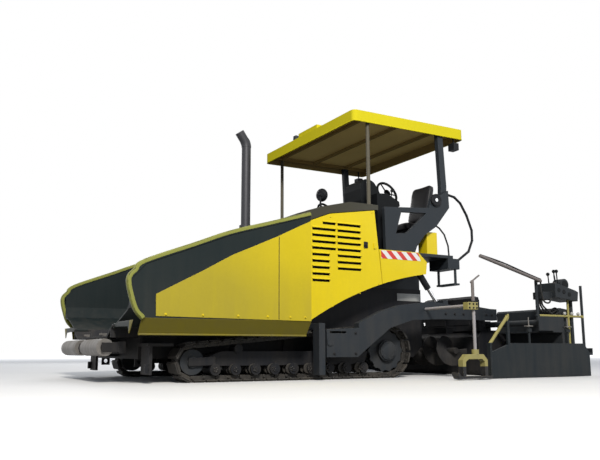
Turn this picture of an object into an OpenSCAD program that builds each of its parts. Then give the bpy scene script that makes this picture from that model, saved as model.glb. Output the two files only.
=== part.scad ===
// Asphalt paver on tracks: hopper in front (-X), tractor body, canopy, and a floating screed behind (+X).
// Millimetres. The origin is on the ground at the middle of the machine, +Z up, left side at -Y.

/* [Tractor] */
// Width over the tractor's side doors
body_w = 2550; // [2450:10:2600]
// Thickness of a side door
door_t = 45; // [35:1:50]
// Thickness of the fixed side panels
panel_t = 30; // [22:1:34]
// Front face of the tractor block
body_x0 = -870; // [-880:5:-862]
// Rear face of the tractor block
body_x1 = 1250; // [1200:5:1270]
// Half width of the frame between the tracks
frame_half = 900; // [870:5:930]
// Underside of the frame
frame_z0 = 250; // [200:5:300]
// Top of the tractor block
block_z = 1150; // [1120:5:1160]
// Place of the wall between engine and platform
fire_x = 255; // [245:1:260]
// Top of the operator's floor
floor_z = 1600; // [1590:1:1620]
// Thickness of the operator's floor
floor_t = 40; // [25:1:60]
// Rear edge of the operator's floor
floor_x1 = 1550; // [1500:5:1600]
// Height of the deck over the engine at the platform
hood_z = 2170; // [2150:5:2200]
// Thickness of the deck plates
hood_t = 30; // [15:1:40]
// Radius of the arch over the track, seen from the side
arch_r = 4600; // [4200:50:5200]

/* [Running gear] */
// Width of a track
track_w = 300; // [250:5:310]
// Outer face of a track from the middle
track_out = 1275; // [1260:1:1275]
// Radius over the shoes at the front idler
idler_r = 215; // [200:1:225]
// Radius over the shoes at the rear sprocket
sprocket_r = 335; // [320:1:340]
// Axle of the front idler
idler_x = -2140; // [-2150:5:-2100]
// Axle of the rear sprocket
sprocket_x = 430; // [400:5:440]
// Thickness of the chain with its shoes
belt_t = 70; // [60:1:80]
// Height of a shoe above the chain
shoe_h = 28; // [15:1:35]
// Number of shoes round a track
shoe_n = 46; // [40:1:48]
// Number of bottom rollers in a track
roller_n = 9; // [7:1:10]
// Radius of a bottom roller
roller_r = 62; // [50:1:68]

/* [Hopper] */
// Width over the opened hopper wings
open_w = 3240; // [3150:10:3300]
// Front tip of a wing
wing_x0 = -3000; // [-3020:5:-2980]
// Rear edge of a wing
wing_x1 = -900; // [-920:1:-895]
// Height of a wing's tip
wing_tip_z = 1020; // [980:5:1060]
// Height of a wing's rim at the rear
wing_rear_z = 1905; // [1800:5:1910]
// Height of the fold at a wing's foot
knee_z = 660; // [645:1:680]
// Height of a wing's lowest edge
foot_z = 510; // [500:1:540]
// Wing hinge from the middle
hinge_y = 905; // [900:1:920]
// Wing hinge height
hinge_z = 600; // [590:1:610]
// Plate thickness of a wing
wing_t = 14; // [10:1:20]
// Depth of the rim along a wing's edge
rim_w = 45; // [35:1:60]
// Height of the hopper floor
hopper_z = 500; // [490:1:505]
// Radius of a push roller
push_r = 92; // [80:1:94]
// Height of the push rollers
push_z = 375; // [365:1:378]

/* [Canopy] */
// Top of the canopy
canopy_z = 3410; // [3300:10:3600]
// Front edge of the canopy
canopy_x0 = -40; // [-80:5:0]
// Rear edge of the canopy
canopy_x1 = 1820; // [1750:10:1900]
// Width of the canopy
canopy_w = 2500; // [2450:10:2540]
// Depth of the canopy's edge
canopy_h = 145; // [120:1:170]
// Radius of a front post
post_r = 25; // [18:1:30]
// Radius of the exhaust pipe
exhaust_r = 70; // [55:1:75]
// Top of the straight part of the exhaust
exhaust_z = 3400; // [3200:10:3450]

/* [Screed] */
// Width of the main screed
screed_w = 2490; // [2450:5:2496]
// Front face of the main screed
screed_x0 = 1950; // [1940:5:1960]
// Rear face of the main screed
screed_x1 = 2440; // [2420:5:2440]
// Underside of the screed
screed_z0 = 5; // [3:1:12]
// Height of the main screed
screed_h = 600; // [560:5:605]
// Distance from the middle to an end gate
gate_y = 2150; // [2000:10:2200]
// Thickness of an end gate
gate_t = 30; // [15:1:32]
// Front edge of an end gate
gate_x0 = 1220; // [1215:1:1260]
// Rear edge of an end gate
gate_x1 = 3000; // [2950:5:3060]
// Radius of the augers
auger_r = 200; // [170:1:205]
// Pitch of the auger flights
auger_pitch = 290; // [280:10:420]
// Radius of an auger's shaft
auger_shaft_r = 42; // [35:1:50]
// Height of the auger shafts
auger_z = 330; // [320:1:340]
// Place of the auger shafts
auger_x = 1550; // [1530:1:1570]
// Tow arm's inner face from the middle
arm_y = 1360; // [1350:1:1365]
// Width of a tow arm
arm_w = 100; // [80:1:110]
// Place of the tow point
tow_x = -560; // [-565:1:-550]
// Height of the tow point
tow_z = 430; // [420:1:440]
// Radius of a tow pin
tow_pin_r = 25; // [20:1:30]

/* [Hidden] */
$fn = 48;
// Column numbers of the tables below
X = 0;
Z = 1;
half = body_w / 2;
gap = 8;
pin_gap = 0.3;
seat_gap = 0.3;
yellow = "gold";
dark = [0.22, 0.24, 0.27];
grey = [0.42, 0.43, 0.44];
steel = [0.6, 0.6, 0.6];

// Block between two corners
module blk(x0, x1, y0, y1, z0, z1) {
    translate([x0, y0, z0]) cube([x1 - x0, y1 - y0, z1 - z0]);
}

// Side view outline (X, Z) drawn out from y0 to y1
module side_plate(y0, y1) {
    translate([0, y1, 0]) rotate([90, 0, 0]) linear_extrude(y1 - y0) children();
}

// Front view outline (Y, Z) drawn out from x0 to x1
module cross_plate(x0, x1) {
    translate([x0, 0, 0]) rotate([90, 0, 90]) linear_extrude(x1 - x0) children();
}

// Round bar along Y
module bar_y(x, z, r, y0, y1) {
    translate([x, y0, z]) rotate([-90, 0, 0]) cylinder(r = r, h = y1 - y0);
}

// Round bar along X
module bar_x(y, z, r, x0, x1) {
    translate([x0, y, z]) rotate([0, 90, 0]) cylinder(r = r, h = x1 - x0);
}

// Round bar between two points
module bar(a, b, r) {
    d = b - a;
    l = norm(d);
    translate(a) rotate([0, acos(d[2] / l), atan2(d[1], d[0])]) cylinder(r = r, h = l);
}

// Bent round tube through a list of points, with a ball at each bend; the straights end just inside the balls
module bent_tube(pts, r) {
    n = len(pts) - 1;
    for (i = [0 : n - 1]) {
        u = (pts[i + 1] - pts[i]) / norm(pts[i + 1] - pts[i]) * r * 0.4;
        bar(pts[i] + (i > 0 ? u : u * 0), pts[i + 1] - (i < n - 1 ? u : u * 0), r);
    }
    for (i = [1 : n - 1]) translate(pts[i]) sphere(r = r * 1.1);
}

// The same piece on both sides
module both() {
    children();
    mirror([0, 1, 0]) children();
}

// The piece on one side: s is -1 for the left side, 1 for the right side (children are drawn at +Y)
module on_side(s) {
    mirror([0, s < 0 ? 1 : 0, 0]) children();
}

// Arch over the track: an arc through two points of the side panels
arch_a = [-720, 680];
arch_b = [1050, 1320];
arch_mid = (arch_a + arch_b) / 2;
arch_chord = norm(arch_b - arch_a);
arch_n = [arch_b[Z] - arch_a[Z], arch_a[X] - arch_b[X]] / arch_chord;
arch_c = arch_mid + arch_n * sqrt(pow(arch_r, 2) - pow(arch_chord / 2, 2));
door_foot_z = 672;
function arch_z(x) = max(door_foot_z, arch_c[Z] + sqrt(pow(arch_r, 2) - pow(x - arch_c[X], 2)));
function arch_pts(x0, x1, n) = [for (i = [0 : n]) let (x = x0 + (x1 - x0) * i / n) [x, arch_z(x)]];

// Top of the deck and top of the yellow side panels, seen from the side: [X, Z]
deck_top = [[-850, hood_z - 210], [-550, hood_z - 100], [-130, hood_z], [300, hood_z]];
door_top = [[-790, hood_z - 330], [-740, hood_z - 300], [-430, hood_z - 180], [240, hood_z - 75]];
door_x0 = door_top[0][X];
// Rear edge of a door: from the arch up to the deck
door_rear_low = 340;
rear_top_z = floor_z;
function door_rear(z) = let (t = (z - block_z) / (hood_z - block_z)) door_rear_low - t * (door_rear_low - door_top[3][X]);

// Track: two circles and their common tangents, followed by path length
belt_d = sprocket_x - idler_x;
belt_phi = atan2(sprocket_r - idler_r, belt_d);
rear_arc = 180 + 2 * belt_phi;
front_arc = 180 - 2 * belt_phi;
function arc_len(r, a) = r * a * PI / 180;
belt_len = 2 * belt_d + arc_len(sprocket_r - belt_t / 2, rear_arc) + arc_len(idler_r - belt_t / 2, front_arc);
// Point at length s along the chain's middle line, moved outwards by off
function belt_pt(s, off) =
    let (m = belt_t / 2, l0 = belt_d, l1 = l0 + arc_len(sprocket_r - m, rear_arc), l2 = l1 + belt_d,
        up = [-sin(2 * belt_phi), cos(2 * belt_phi)], run = [-cos(2 * belt_phi), -sin(2 * belt_phi)])
    s < l0 ? [idler_x + s, m - off]
    : s < l1 ? let (a = -90 + (s - l0) / (sprocket_r - m) * 180 / PI)
        [sprocket_x + (sprocket_r - m + off) * cos(a), sprocket_r + (sprocket_r - m + off) * sin(a)]
    : s < l2 ? [sprocket_x, sprocket_r] + up * (sprocket_r - m + off) + run * (s - l1)
    : let (a = 90 + 2 * belt_phi + (s - l2) / (idler_r - m) * 180 / PI)
        [idler_x + (idler_r - m + off) * cos(a), idler_r + (idler_r - m + off) * sin(a)];
shoe_pitch = belt_len / shoe_n;
shoe_share = 0.84;

module track(s) {
    color(dark) on_side(s) side_plate(track_out - track_w, track_out) difference() {
        polygon([for (i = [0 : shoe_n - 1], k = [0 : 3])
            let (s0 = i * shoe_pitch, s1 = s0 + shoe_pitch * shoe_share, out = belt_t / 2)
            belt_pt(k < 2 ? s0 : s1, k == 0 || k == 3 ? out - shoe_h : out)]);
        polygon([for (i = [0 : shoe_n * 2 - 1]) belt_pt(i * shoe_pitch / 2, -belt_t / 2)]);
    }
}

// Beam with rollers inside each track, bolted to the main frame
beam_x0 = idler_x + 190;
beam_x1 = sprocket_x - 330;
beam_z0 = belt_t + roller_r + 30;
beam_z1 = 330;
beam_in = track_out - track_w + 25;
beam_out = track_out - 30;
roller_z = belt_t + roller_r + seat_gap;
module track_frames() {
    color(dark) both() {
        side_plate(beam_in, beam_out - 60) polygon([[beam_x0 - 30, beam_z0 + 30], [beam_x0, beam_z0 + 10],
            [beam_x1, beam_z0 + 10], [beam_x1 + 60, beam_z1], [beam_x0 + 150, beam_z1], [beam_x0 - 30, idler_r + 50]]);
        // Fork plate to the idler's axle
        side_plate(beam_out - 40, beam_out - 20) polygon([[idler_x - 50, idler_r - 40], [beam_x0 + 60, beam_z0 + 20],
            [beam_x0 + 60, idler_r + 60], [idler_x - 50, idler_r + 40]]);
        blk(beam_x0, beam_x0 + 60, beam_out - 60, beam_out - 40, beam_z0 + 20, idler_r + 60);
        for (i = [0 : roller_n - 1]) {
            x = beam_x0 + 60 + (beam_x1 - beam_x0 - 100) * i / (roller_n - 1);
            bar_y(x, roller_z, roller_r, beam_in + 5, beam_out);
            bar_y(x, roller_z, roller_r / 2, beam_out, beam_out + 10);
        }
        for (x = [beam_x0 + 350, beam_x1 - 350]) {
            bar_y(x, top_run(x) - 52, 50, beam_in + 40, beam_out - 40);
            blk(x - 20, x + 20, beam_in + 60, beam_out - 80, beam_z1 - 5, top_run(x) - 60);
        }
        for (x = [beam_x0 + 200, beam_x1 - 200]) blk(x - 90, x + 90, frame_half, beam_in + 5, beam_z0 + 20, beam_z1 - 15);
    }
}
// Underside of the chain's upper run
function top_run(x) = sprocket_r + (sprocket_r - belt_t) / cos(2 * belt_phi) + (x - sprocket_x) * tan(2 * belt_phi);

tooth_n = 14;
sprocket_root = sprocket_r - belt_t - 22;
module drive_sprockets() {
    color(grey) both() {
        for (y = [beam_in + 60, beam_out - 85]) side_plate(y, y + 25) translate([sprocket_x, sprocket_r])
            polygon([for (i = [0 : tooth_n - 1], k = [0 : 3])
                let (r = k == 0 || k == 3 ? sprocket_root : sprocket_r - belt_t - 5,
                    a = 360 / tooth_n * (i + [-0.3, -0.15, 0.15, 0.3][k])) [r * cos(a), r * sin(a)]]);
        bar_y(sprocket_x, sprocket_r, 130, frame_half, beam_out - 15);
        bar_y(sprocket_x, sprocket_r, 95, beam_out - 15, beam_out + 5);
        for (i = [0 : 7]) translate([90 * cos(i * 45), 0, 90 * sin(i * 45)])
            bar_y(sprocket_x, sprocket_r, 11, beam_out - 15, beam_out + 12);
    }
}

module idler_wheels() {
    color(grey) both() {
        bar_y(idler_x, idler_r, idler_r - belt_t - 8, beam_in + 20, beam_out - 60);
        bar_y(idler_x, idler_r, 60, beam_out - 60, beam_out - 40 - seat_gap);
    }
}

// Main frame: front beam, tractor block with the two conveyor tunnels, engine deck
tunnel_y0 = 60;
tunnel_y1 = 700;
tunnel_z1 = 940;
deck_t = 30;
deck_z = block_z + deck_t;
front_x = -2640;
deck_half = half - door_t - 5;
module chassis() {
    color(dark) {
        blk(front_x, body_x0, -860, 860, frame_z0, hopper_z - 20);
        difference() {
            side_plate(-frame_half, frame_half) polygon([[body_x0, frame_z0], [body_x1 - 150, frame_z0],
                [body_x1, frame_z0 + 150], [body_x1, block_z], [body_x0, block_z]]);
            both() blk(body_x0 - 1, body_x1 + 1, tunnel_y0, tunnel_y1, hopper_z, tunnel_z1);
        }
        blk(body_x0, fire_x, -deck_half, deck_half, block_z, deck_z);
        blk(body_x0, body_x0 + 20, -half + panel_t, half - panel_t, deck_z, deck_top[0][Z] - hood_t);
        blk(fire_x, fire_x + 25, -deck_half, deck_half, block_z, hood_z - hood_t);
        // Lugs and pin that carry the push beam
        for (z = [push_lug_z0, push_lug_z1 - push_lug_t])
            blk(push_pivot_x - 30, front_x, -110, 110, z, z + push_lug_t);
        translate([push_pivot_x, 0, push_lug_z0]) cylinder(r = push_pin_r, h = push_lug_z1 - push_lug_z0);
        both() {
            door_lugs();
            // Lashing eye under the front beam
            difference() {
                blk(eye_front_x - 50, eye_front_x + 50, 700, 725, frame_z0 - 85, frame_z0 + 10);
                bar_y(eye_front_x, frame_z0 - 35, lash_r, 699, 726);
            }
        }
    }
}
eye_front_x = front_x + 60;
lash_r = 25;

// Door hinges: a pin on the frame and a knuckle on the door
door_hinge_x = door_x0 - 15;
door_hinge_y = half - 15;
door_pin_r = 8;
door_hinges = [900, 1550];
module door_lugs() {
    for (z = door_hinges) {
        blk(body_x0, door_hinge_x, door_hinge_y - 22, door_hinge_y - 4, z - 42, z - 22);
        translate([door_hinge_x, door_hinge_y, z - 42]) cylinder(r = 14, h = 20);
        translate([door_hinge_x, door_hinge_y, z - 42]) cylinder(r = door_pin_r, h = 82);
        blk(body_x0, body_x0 + 20, half - panel_t - 2, door_hinge_y - 4, z - 42, z - 22);
        if (z < deck_z) blk(body_x0, body_x0 + 20, frame_half, door_hinge_y - 4, z - 42, z - 22);
    }
}

module door_outline() {
    polygon(concat([[door_x0, door_foot_z]], arch_pts(arch_a[X] - 10, door_rear(block_z), 14),
        [[door_top[3][X], door_top[3][Z]], door_top[2], door_top[1], door_top[0]]));
}

// Louvres: columns as [front, rear, lowest row, rows]
louvre_pitch = 78;
louvre_z = 1150;
louvre_cols = [[-680, -440, louvre_z, 5], [-680, -350, louvre_z + 5 * louvre_pitch, 5],
    [-320, 20, louvre_z + 2 * louvre_pitch, 8]];
louvre_h = 44;
louvre_out = 14;
latch_z = 1640;
// Front end of a louvre, held back where the door's top edge comes down
function louvre_x0(c, z) = max(c[0], lookup(z + louvre_h + 55, [[door_top[1][Z], door_top[1][X]], [door_top[2][Z], door_top[2][X]]]));
module engine_door(s) {
    color(yellow) on_side(s) {
        difference() {
            side_plate(half - door_t, half) door_outline();
            side_plate(half - door_t - 1, half - 4) polygon(door_recess());
            for (c = louvre_cols, i = [0 : c[3] - 1]) let (z = c[2] + i * louvre_pitch)
                blk(louvre_x0(c, z), c[1], half - door_t - 1, half + 1, z, z + louvre_h);
        }
        for (c = louvre_cols, i = [0 : c[3] - 1]) let (z = c[2] + i * louvre_pitch) louvre(louvre_x0(c, z), c[1], z);
        for (z = door_hinges) door_knuckle(z);
        blk(door_rear(latch_z) - 75, door_rear(latch_z) - 35, half, half + 12, latch_z - 40, latch_z + 40);
    }
}
// Hollow behind a door's skin
function door_recess() = [[door_x0 + 40, 760], [-600, 790], [-200, 1000], [door_x1 - 60, block_z + 20],
    [door_x1 - 90, hood_z - 130], [-430, hood_z - 220], [door_x0 + 40, hood_z - 370]];
door_x1 = door_top[3][X];

// One louvre: a slanted blade that stands out over its slot
module louvre(x0, x1, z) {
    cross_plate(x0 - 4, x1 + 4) polygon([[half - 4, z + louvre_h - 4], [half + louvre_out, z + louvre_h - 16],
        [half + louvre_out, z + louvre_h - 11], [half, z + louvre_h + 6], [half - 4, z + louvre_h + 6]]);
}

module door_knuckle(z) {
    difference() {
        union() {
            translate([door_hinge_x, door_hinge_y, z - 21.7]) cylinder(r = 14, h = 50);
            blk(door_hinge_x, door_x0 + 1, door_hinge_y - 8, door_hinge_y + 6, z - 21.7, z + 28);
        }
        translate([door_hinge_x, door_hinge_y, z - 30]) cylinder(r = door_pin_r + pin_gap, h = 90);
    }
}

// Fixed yellow panels behind the doors
panel_x1 = 1070;
module rear_panels() {
    color(yellow) both() {
        side_plate(half - panel_t, half) polygon(concat(arch_pts(door_rear(block_z) + gap, arch_b[X], 10),
            [[panel_x1, rear_top_z - 120], [panel_x1 - 140, rear_top_z], [door_rear(rear_top_z) + gap, rear_top_z]]));
        blk(panel_x1 + 60, panel_x1 + 235, half - 240, half - 60, floor_z, floor_z + 300);
    }
}

// Deck over the engine with an opening for its lid
lid_x0 = -480;
lid_x1 = 110;
lid_half = 780;
lid_knuckle_y = 500;
lid_pin_r = 5;
function deck_z_at(x) = lookup(x, deck_top);
lid_hinge_x = lid_x0 + 6;
lid_hinge_z = round(deck_z_at(lid_hinge_x) - 6);
function deck_band(x0, x1, t) = let (xs = [for (x = [x0, deck_top[1][X], deck_top[2][X], x1]) min(max(x, x0), x1)])
    concat([for (x = xs) [x, deck_z_at(x)]], [for (i = [3 : -1 : 0]) [xs[i], deck_z_at(xs[i]) - t]]);
module hood() {
    color(dark) {
        difference() {
            side_plate(panel_t - half, half - panel_t) polygon(deck_band(deck_top[0][X] - 20, deck_top[3][X], hood_t));
            blk(lid_x0, lid_x1, -lid_half, lid_half, 1000, 3000);
            both() bar_y(lid_hinge_x, lid_hinge_z, 12, lid_knuckle_y - 3, lid_knuckle_y + 63);
        }
        // Pins and lugs of the lid's hinges
        both() {
            for (y = [lid_knuckle_y - 15, lid_knuckle_y + 63])
                blk(lid_x0 - 5, lid_hinge_x + 6, y, y + 12, lid_hinge_z - 8, lid_hinge_z + 6);
            bar_y(lid_hinge_x, lid_hinge_z, lid_pin_r, lid_knuckle_y - 15, lid_knuckle_y + 75);
        }
        // Plinth of the exhaust
        translate([exhaust_x, exhaust_y, deck_z_at(exhaust_x) - 20]) cylinder(r = exhaust_r * 1.2, h = plinth_h + 20);
        // Ledges that the lid rests on
        difference() {
            side_plate(-lid_half - 30, lid_half + 30) translate([0, -hood_t])
                polygon(deck_band(lid_x0 - 30, lid_x1 + 30, 12));
            blk(lid_x0 + 40, lid_x1 - 40, 40 - lid_half, lid_half - 40, 1000, 3000);
            // Room for the lid's front edge, which dips as it opens
            side_plate(-lid_half, lid_half) translate([0, 1 - hood_t]) polygon(deck_band(lid_x0 + 1, lid_x0 + 30, 4));
        }
        both() side_plate(half - panel_t, half) polygon(concat(deck_top, [[300, door_top[3][Z] + gap],
            [door_top[3][X], door_top[3][Z] + gap], [door_top[2][X], door_top[2][Z] + gap],
            [door_top[1][X], door_top[1][Z] + gap], [door_top[0][X], door_top[0][Z] + gap],
            [deck_top[0][X], door_top[0][Z] - 20]]));
    }
}
module hood_lid() {
    color(dark) {
        difference() {
            side_plate(6 - lid_half, lid_half - 6) polygon(deck_band(lid_x0 + 6, lid_x1 - 6, hood_t - seat_gap));
            both() blk(lid_x0, lid_hinge_x + 14, lid_knuckle_y - 20, lid_knuckle_y + 80, 1000, 3000);
        }
        both() difference() {
            union() {
                bar_y(lid_hinge_x, lid_hinge_z, 9, lid_knuckle_y, lid_knuckle_y + 60);
                blk(lid_hinge_x, lid_hinge_x + 18, lid_knuckle_y, lid_knuckle_y + 60, lid_hinge_z - 6, lid_hinge_z + 6);
            }
            bar_y(lid_hinge_x, lid_hinge_z, lid_pin_r + pin_gap, lid_knuckle_y - 1, lid_knuckle_y + 61);
        }
        for (y = [-450, 450]) bent_tube([[lid_x1 - 90, y - 60, deck_z_at(lid_x1 - 90) - 5],
            [lid_x1 - 90, y - 60, deck_z_at(lid_x1 - 90) + 40], [lid_x1 - 90, y + 60, deck_z_at(lid_x1 - 90) + 40],
            [lid_x1 - 90, y + 60, deck_z_at(lid_x1 - 90) - 5]], 9);
    }
}

module engine_block() {
    color(steel) blk(-760, 170, -430, 430, deck_z, 1900);
}

// Exhaust pipe on the right of the deck, with a bent tip
exhaust_x = -500;
exhaust_y = 1000;
bend_r = 180;
bend_a = 35;
tip_len = 150;
elbow_lap = 12;
plinth_h = 40;
// Pipe from z0 up, with an elbow slipped over its top and a straight tip
module pipe(z0) {
    translate([exhaust_x, exhaust_y, z0]) cylinder(r = exhaust_r, h = exhaust_z - z0 + elbow_lap);
    translate([exhaust_x, exhaust_y, exhaust_z]) rotate([90, 0, 180]) translate([bend_r, 0, 0])
        mirror([1, 0, 0]) rotate_extrude(angle = bend_a) translate([bend_r, 0]) circle(r = exhaust_r * 1.06);
    tip(exhaust_r, -elbow_lap, tip_len);
}
module tip(r, l0, l1) {
    translate([exhaust_x - bend_r * (1 - cos(bend_a)), exhaust_y, exhaust_z + bend_r * sin(bend_a)])
        rotate([0, -bend_a, 0]) translate([0, 0, l0]) cylinder(r = r, h = l1 - l0);
}
module exhaust() {
    z0 = deck_z_at(exhaust_x) + plinth_h + seat_gap;
    color([0.35, 0.3, 0.27]) {
        difference() {
            pipe(z0);
            tip(exhaust_r - 6, 30, tip_len + 1);
        }
        translate([exhaust_x, exhaust_y, z0 + 30]) cylinder(r = exhaust_r * 1.35, h = 36);
    }
}

// Operator's floor on its tank box
lug_x = 980;
lug_z = 1360;
lift_y = 1190;
lift_pin_r = 20;
ladder_z = 1230;
module platform() {
    color(grey) {
        blk(fire_x + 25, body_x1, -880, 880, block_z, floor_z - floor_t);
        blk(fire_x + 25, door_rear_low + gap, -deck_half, deck_half, floor_z - floor_t, floor_z);
        blk(door_rear_low + gap, panel_x1, panel_t - half, half - panel_t, floor_z - floor_t, floor_z);
        blk(panel_x1, floor_x1, -half + 30, half - 30, floor_z - floor_t, floor_z);
        both() {
            blk(lug_x - 50, lug_x + 50, 880, lift_y - 50, lug_z - 50, floor_z - floor_t);
            bar_y(lug_x, lug_z, lift_pin_r, lift_y - 50, lift_y + 48);
            // Steps at the rear corners
            blk(floor_x1, floor_x1 + 110, half - 420, half - 30, floor_z - 180, floor_z - floor_t);
            blk(floor_x1 - 90, floor_x1, half - 420, half - 30, floor_z - 180, floor_z - floor_t);
            // Hanging step under each
            for (y = [half - 400, half - 60]) blk(floor_x1 + 30, floor_x1 + 60, y, y + 20, ladder_z, floor_z - 178);
            blk(floor_x1 + 10, floor_x1 + 110, half - 400, half - 40, ladder_z - 25, ladder_z);
        }
    }
}

// Grey frames at the operator's sides: outline and window as [X, Z] from the floor
side_t = 55;
frame_pts = [[410, 0], [400, 560], [1140, 615], [1185, 760], [1360, 820], [1480, 890], [1490, 650], [1250, 370],
    [1050, 240], [915, 80], [880, 0]];
window_pts = [[670, 520], [1090, 540], [760, 245], [575, 225]];
module side_frames() {
    color(grey) both() translate([0, 0, floor_z]) side_plate(half - side_t, half) difference() {
        polygon(frame_pts);
        polygon(window_pts);
    }
}

// Seats: one on each side
seat_x = 1180;
seat_y = 800;
module seat_frames() {
    color(dark) both() {
        translate([seat_x, seat_y, floor_z]) cylinder(r = 170, h = 20);
        translate([seat_x, seat_y, floor_z]) cylinder(r = 60, h = 300);
        blk(seat_x - 190, seat_x + 190, seat_y - 200, seat_y + 200, floor_z + 300, floor_z + 345);
        blk(seat_x + 190, seat_x + 250, seat_y - 60, seat_y + 60, floor_z + 300, floor_z + 620);
    }
}
module seat_cushions() {
    color([0.12, 0.12, 0.13]) both() {
        blk(seat_x - 240, seat_x + 180, seat_y - 240, seat_y + 240, floor_z + 345 + seat_gap, floor_z + 455);
        side_plate(seat_y - 230, seat_y + 230) polygon([[seat_x + 130, floor_z + 470], [seat_x + 190 - seat_gap, floor_z + 470],
            [seat_x + 190 - seat_gap, floor_z + 640], [seat_x + 270, floor_z + 1040], [seat_x + 200, floor_z + 1060]]);
    }
}

module consoles() {
    color(dark) {
        both() side_plate(520, 1080) translate([0, floor_z]) polygon([[430, 0], [600, 0], [640, 560], [800, 640],
            [790, 700], [600, 790], [430, 780]]);
        // Cowl over the driver's console
        side_plate(-940, -560) translate([0, floor_z]) polygon([[430, 500], [600, 780], [540, 890], [480, 960], [410, 995],
            [340, 990], [285, 940], [255, 850], [265, 700], [305, 580]]);
    }
}

mirror_x = 150;
mirror_y = -100;
mirror_z = 2515;
mirror_yaw = 30;
module round_mirror() {
    color(dark) {
        bar([mirror_x, mirror_y, hood_z], [mirror_x, mirror_y, mirror_z], 13);
        bar_y(mirror_x, mirror_z, 20, mirror_y - 30, mirror_y + 30);
        translate([mirror_x, mirror_y, mirror_z]) rotate([0, 0, mirror_yaw]) rotate([0, 82, 0])
            cylinder(r1 = 60, r2 = 95, h = 45);
    }
}

// Canopy: a tray with ribs under it
rib_y = canopy_w / 2 - 65;
rib_z = canopy_z - 80;
module canopy_plan() {
    r = 60;
    translate([canopy_x0 + r, -canopy_w / 2]) square([canopy_x1 - canopy_x0 - 2 * r, canopy_w]);
    translate([canopy_x0, r - canopy_w / 2]) square([canopy_x1 - canopy_x0, canopy_w - 2 * r]);
    for (x = [canopy_x0 + r, canopy_x1 - r], y = [-1, 1]) translate([x, y * (canopy_w / 2 - r)]) circle(r = r);
}
module canopy_roof() {
    color(yellow) {
        difference() {
            translate([0, 0, canopy_z - canopy_h]) linear_extrude(canopy_h) canopy_plan();
            blk(canopy_x0 + 20, canopy_x1 - 20, 20 - canopy_w / 2, canopy_w / 2 - 20, canopy_z - canopy_h - 1, canopy_z - 25);
        }
        both() blk(canopy_x0 + 20, canopy_x1 - 20, rib_y - 20, rib_y + 20, rib_z, canopy_z - 25);
        for (x = [front_post_x, (front_post_x + rear_post_x) / 2, rear_post_x])
            blk(x - 20, x + 20, 20 - rib_y, rib_y - 20, rib_z + 15, canopy_z - 25);
        blk(canopy_x0 + 40, canopy_x0 + 320, -260, 260, canopy_z, canopy_z + 80);
    }
}
front_post_x = 220;
rear_post_x = 1420;
module rear_post(y) {
    side_plate(y - 70, y) translate([rear_post_x, floor_z]) polygon([[-50, rib_z - floor_z], [40, rib_z - floor_z],
        [82, 960], [75, 800], [55, 680], [-30, 640], [-15, 960]]);
}
module canopy_posts() {
    color(grey) both() {
        translate([front_post_x, rib_y, hood_z]) cylinder(r = post_r, h = rib_z - hood_z);
        translate([front_post_x, rib_y, hood_z]) cylinder(r = 55, h = 12);
        // Leaning post on the side frame's upper end
        rear_post(half - side_t);
    }
}

// Bent hand rails at the rear corners: [X, Z]
rail_r = 17;
rail_pts = [[1478, 2455], [1640, 2425], [1745, 2350], [1850, 2190], [1935, 1985], [1935, 1840], [1860, 1680], [1640, 1530]];
rail_small = [[1280, 1990], [1340, 1960], [1420, 1880], [1480, 1730], [1490, 1590]];
module grab_rails() {
    color(dark) both() difference() {
        union() {
            bent_tube([for (p = rail_pts) [p[X], half - 60, p[Z]]], rail_r);
            bent_tube([for (p = rail_small) [p[X], half - 42, p[Z]]], 11);
        }
        translate([0, 0, floor_z]) side_plate(half - side_t, half + 1) polygon(frame_pts);
        rear_post(half - side_t + 1);
        blk(floor_x1 - 90, floor_x1 + 110, half - 420, half - 30, floor_z - 180, floor_z - floor_t);
        blk(floor_x1 - 90, floor_x1, half - 420, half - 30, floor_z - 180, floor_z);
    }
}

// Brackets that carry the tow points, hung from the frame over the tracks
column_x = -710;
column_w = 80;
column_top = 650;
module tow_brackets() {
    color(grey) both() {
        blk(column_x, column_x + column_w, arm_y - 30, arm_y + arm_w + 10, 60, column_top);
        blk(column_x, column_x + column_w, frame_half, arm_y - 30, column_top - 60, column_top);
        blk(column_x + column_w, tow_x + 60, arm_y - 30, arm_y - 5, tow_z - 60, tow_z + 60);
        bar_y(tow_x, tow_z, tow_pin_r, arm_y - 5, arm_y + arm_w + 4);
        bar_y(tow_x, tow_z, tow_pin_r + 15, arm_y + arm_w + 4, arm_y + arm_w + 14);
    }
}

arm_top_z = 880;
// Tow arm seen from the side: [X, Z]
arm_pts = [[-600, 260], [-170, 260], [20, 400], [320, 610], [660, 710], [1150, 730], [2090, 730], [2090, arm_top_z],
    [1510, 890], [980, 950], [470, 890], [190, 810], [-150, 660], [-150, 600], [-600, 580]];
eye_x = 1290;
eye_z = 945;
module tow_arms() {
    color(grey) both() {
        difference() {
            side_plate(arm_y, arm_y + arm_w) polygon(arm_pts);
            bar_y(tow_x, tow_z, tow_pin_r + pin_gap, arm_y - 1, arm_y + arm_w + 1);
            blk(-560, -330, arm_y - 1, arm_y + arm_w + 1, 535, 560);
        }
        // Lug and pin for the lift cylinder's rod
        blk(eye_x - 40, eye_x + 40, lift_y + 50, arm_y, eye_z - 60, eye_z + 36);
        bar_y(eye_x, eye_z, lift_pin_r, lift_y - 28, lift_y + 50);
    }
}

// Lift cylinder between the platform's lug and the tow arm
lift_dx = eye_x - lug_x;
lift_dz = eye_z - lug_z;
lift_len = sqrt(pow(lift_dx, 2) + pow(lift_dz, 2));
lift_a = atan2(lift_dz, lift_dx);
barrel_len = 272;
rod_len = 262;
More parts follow.
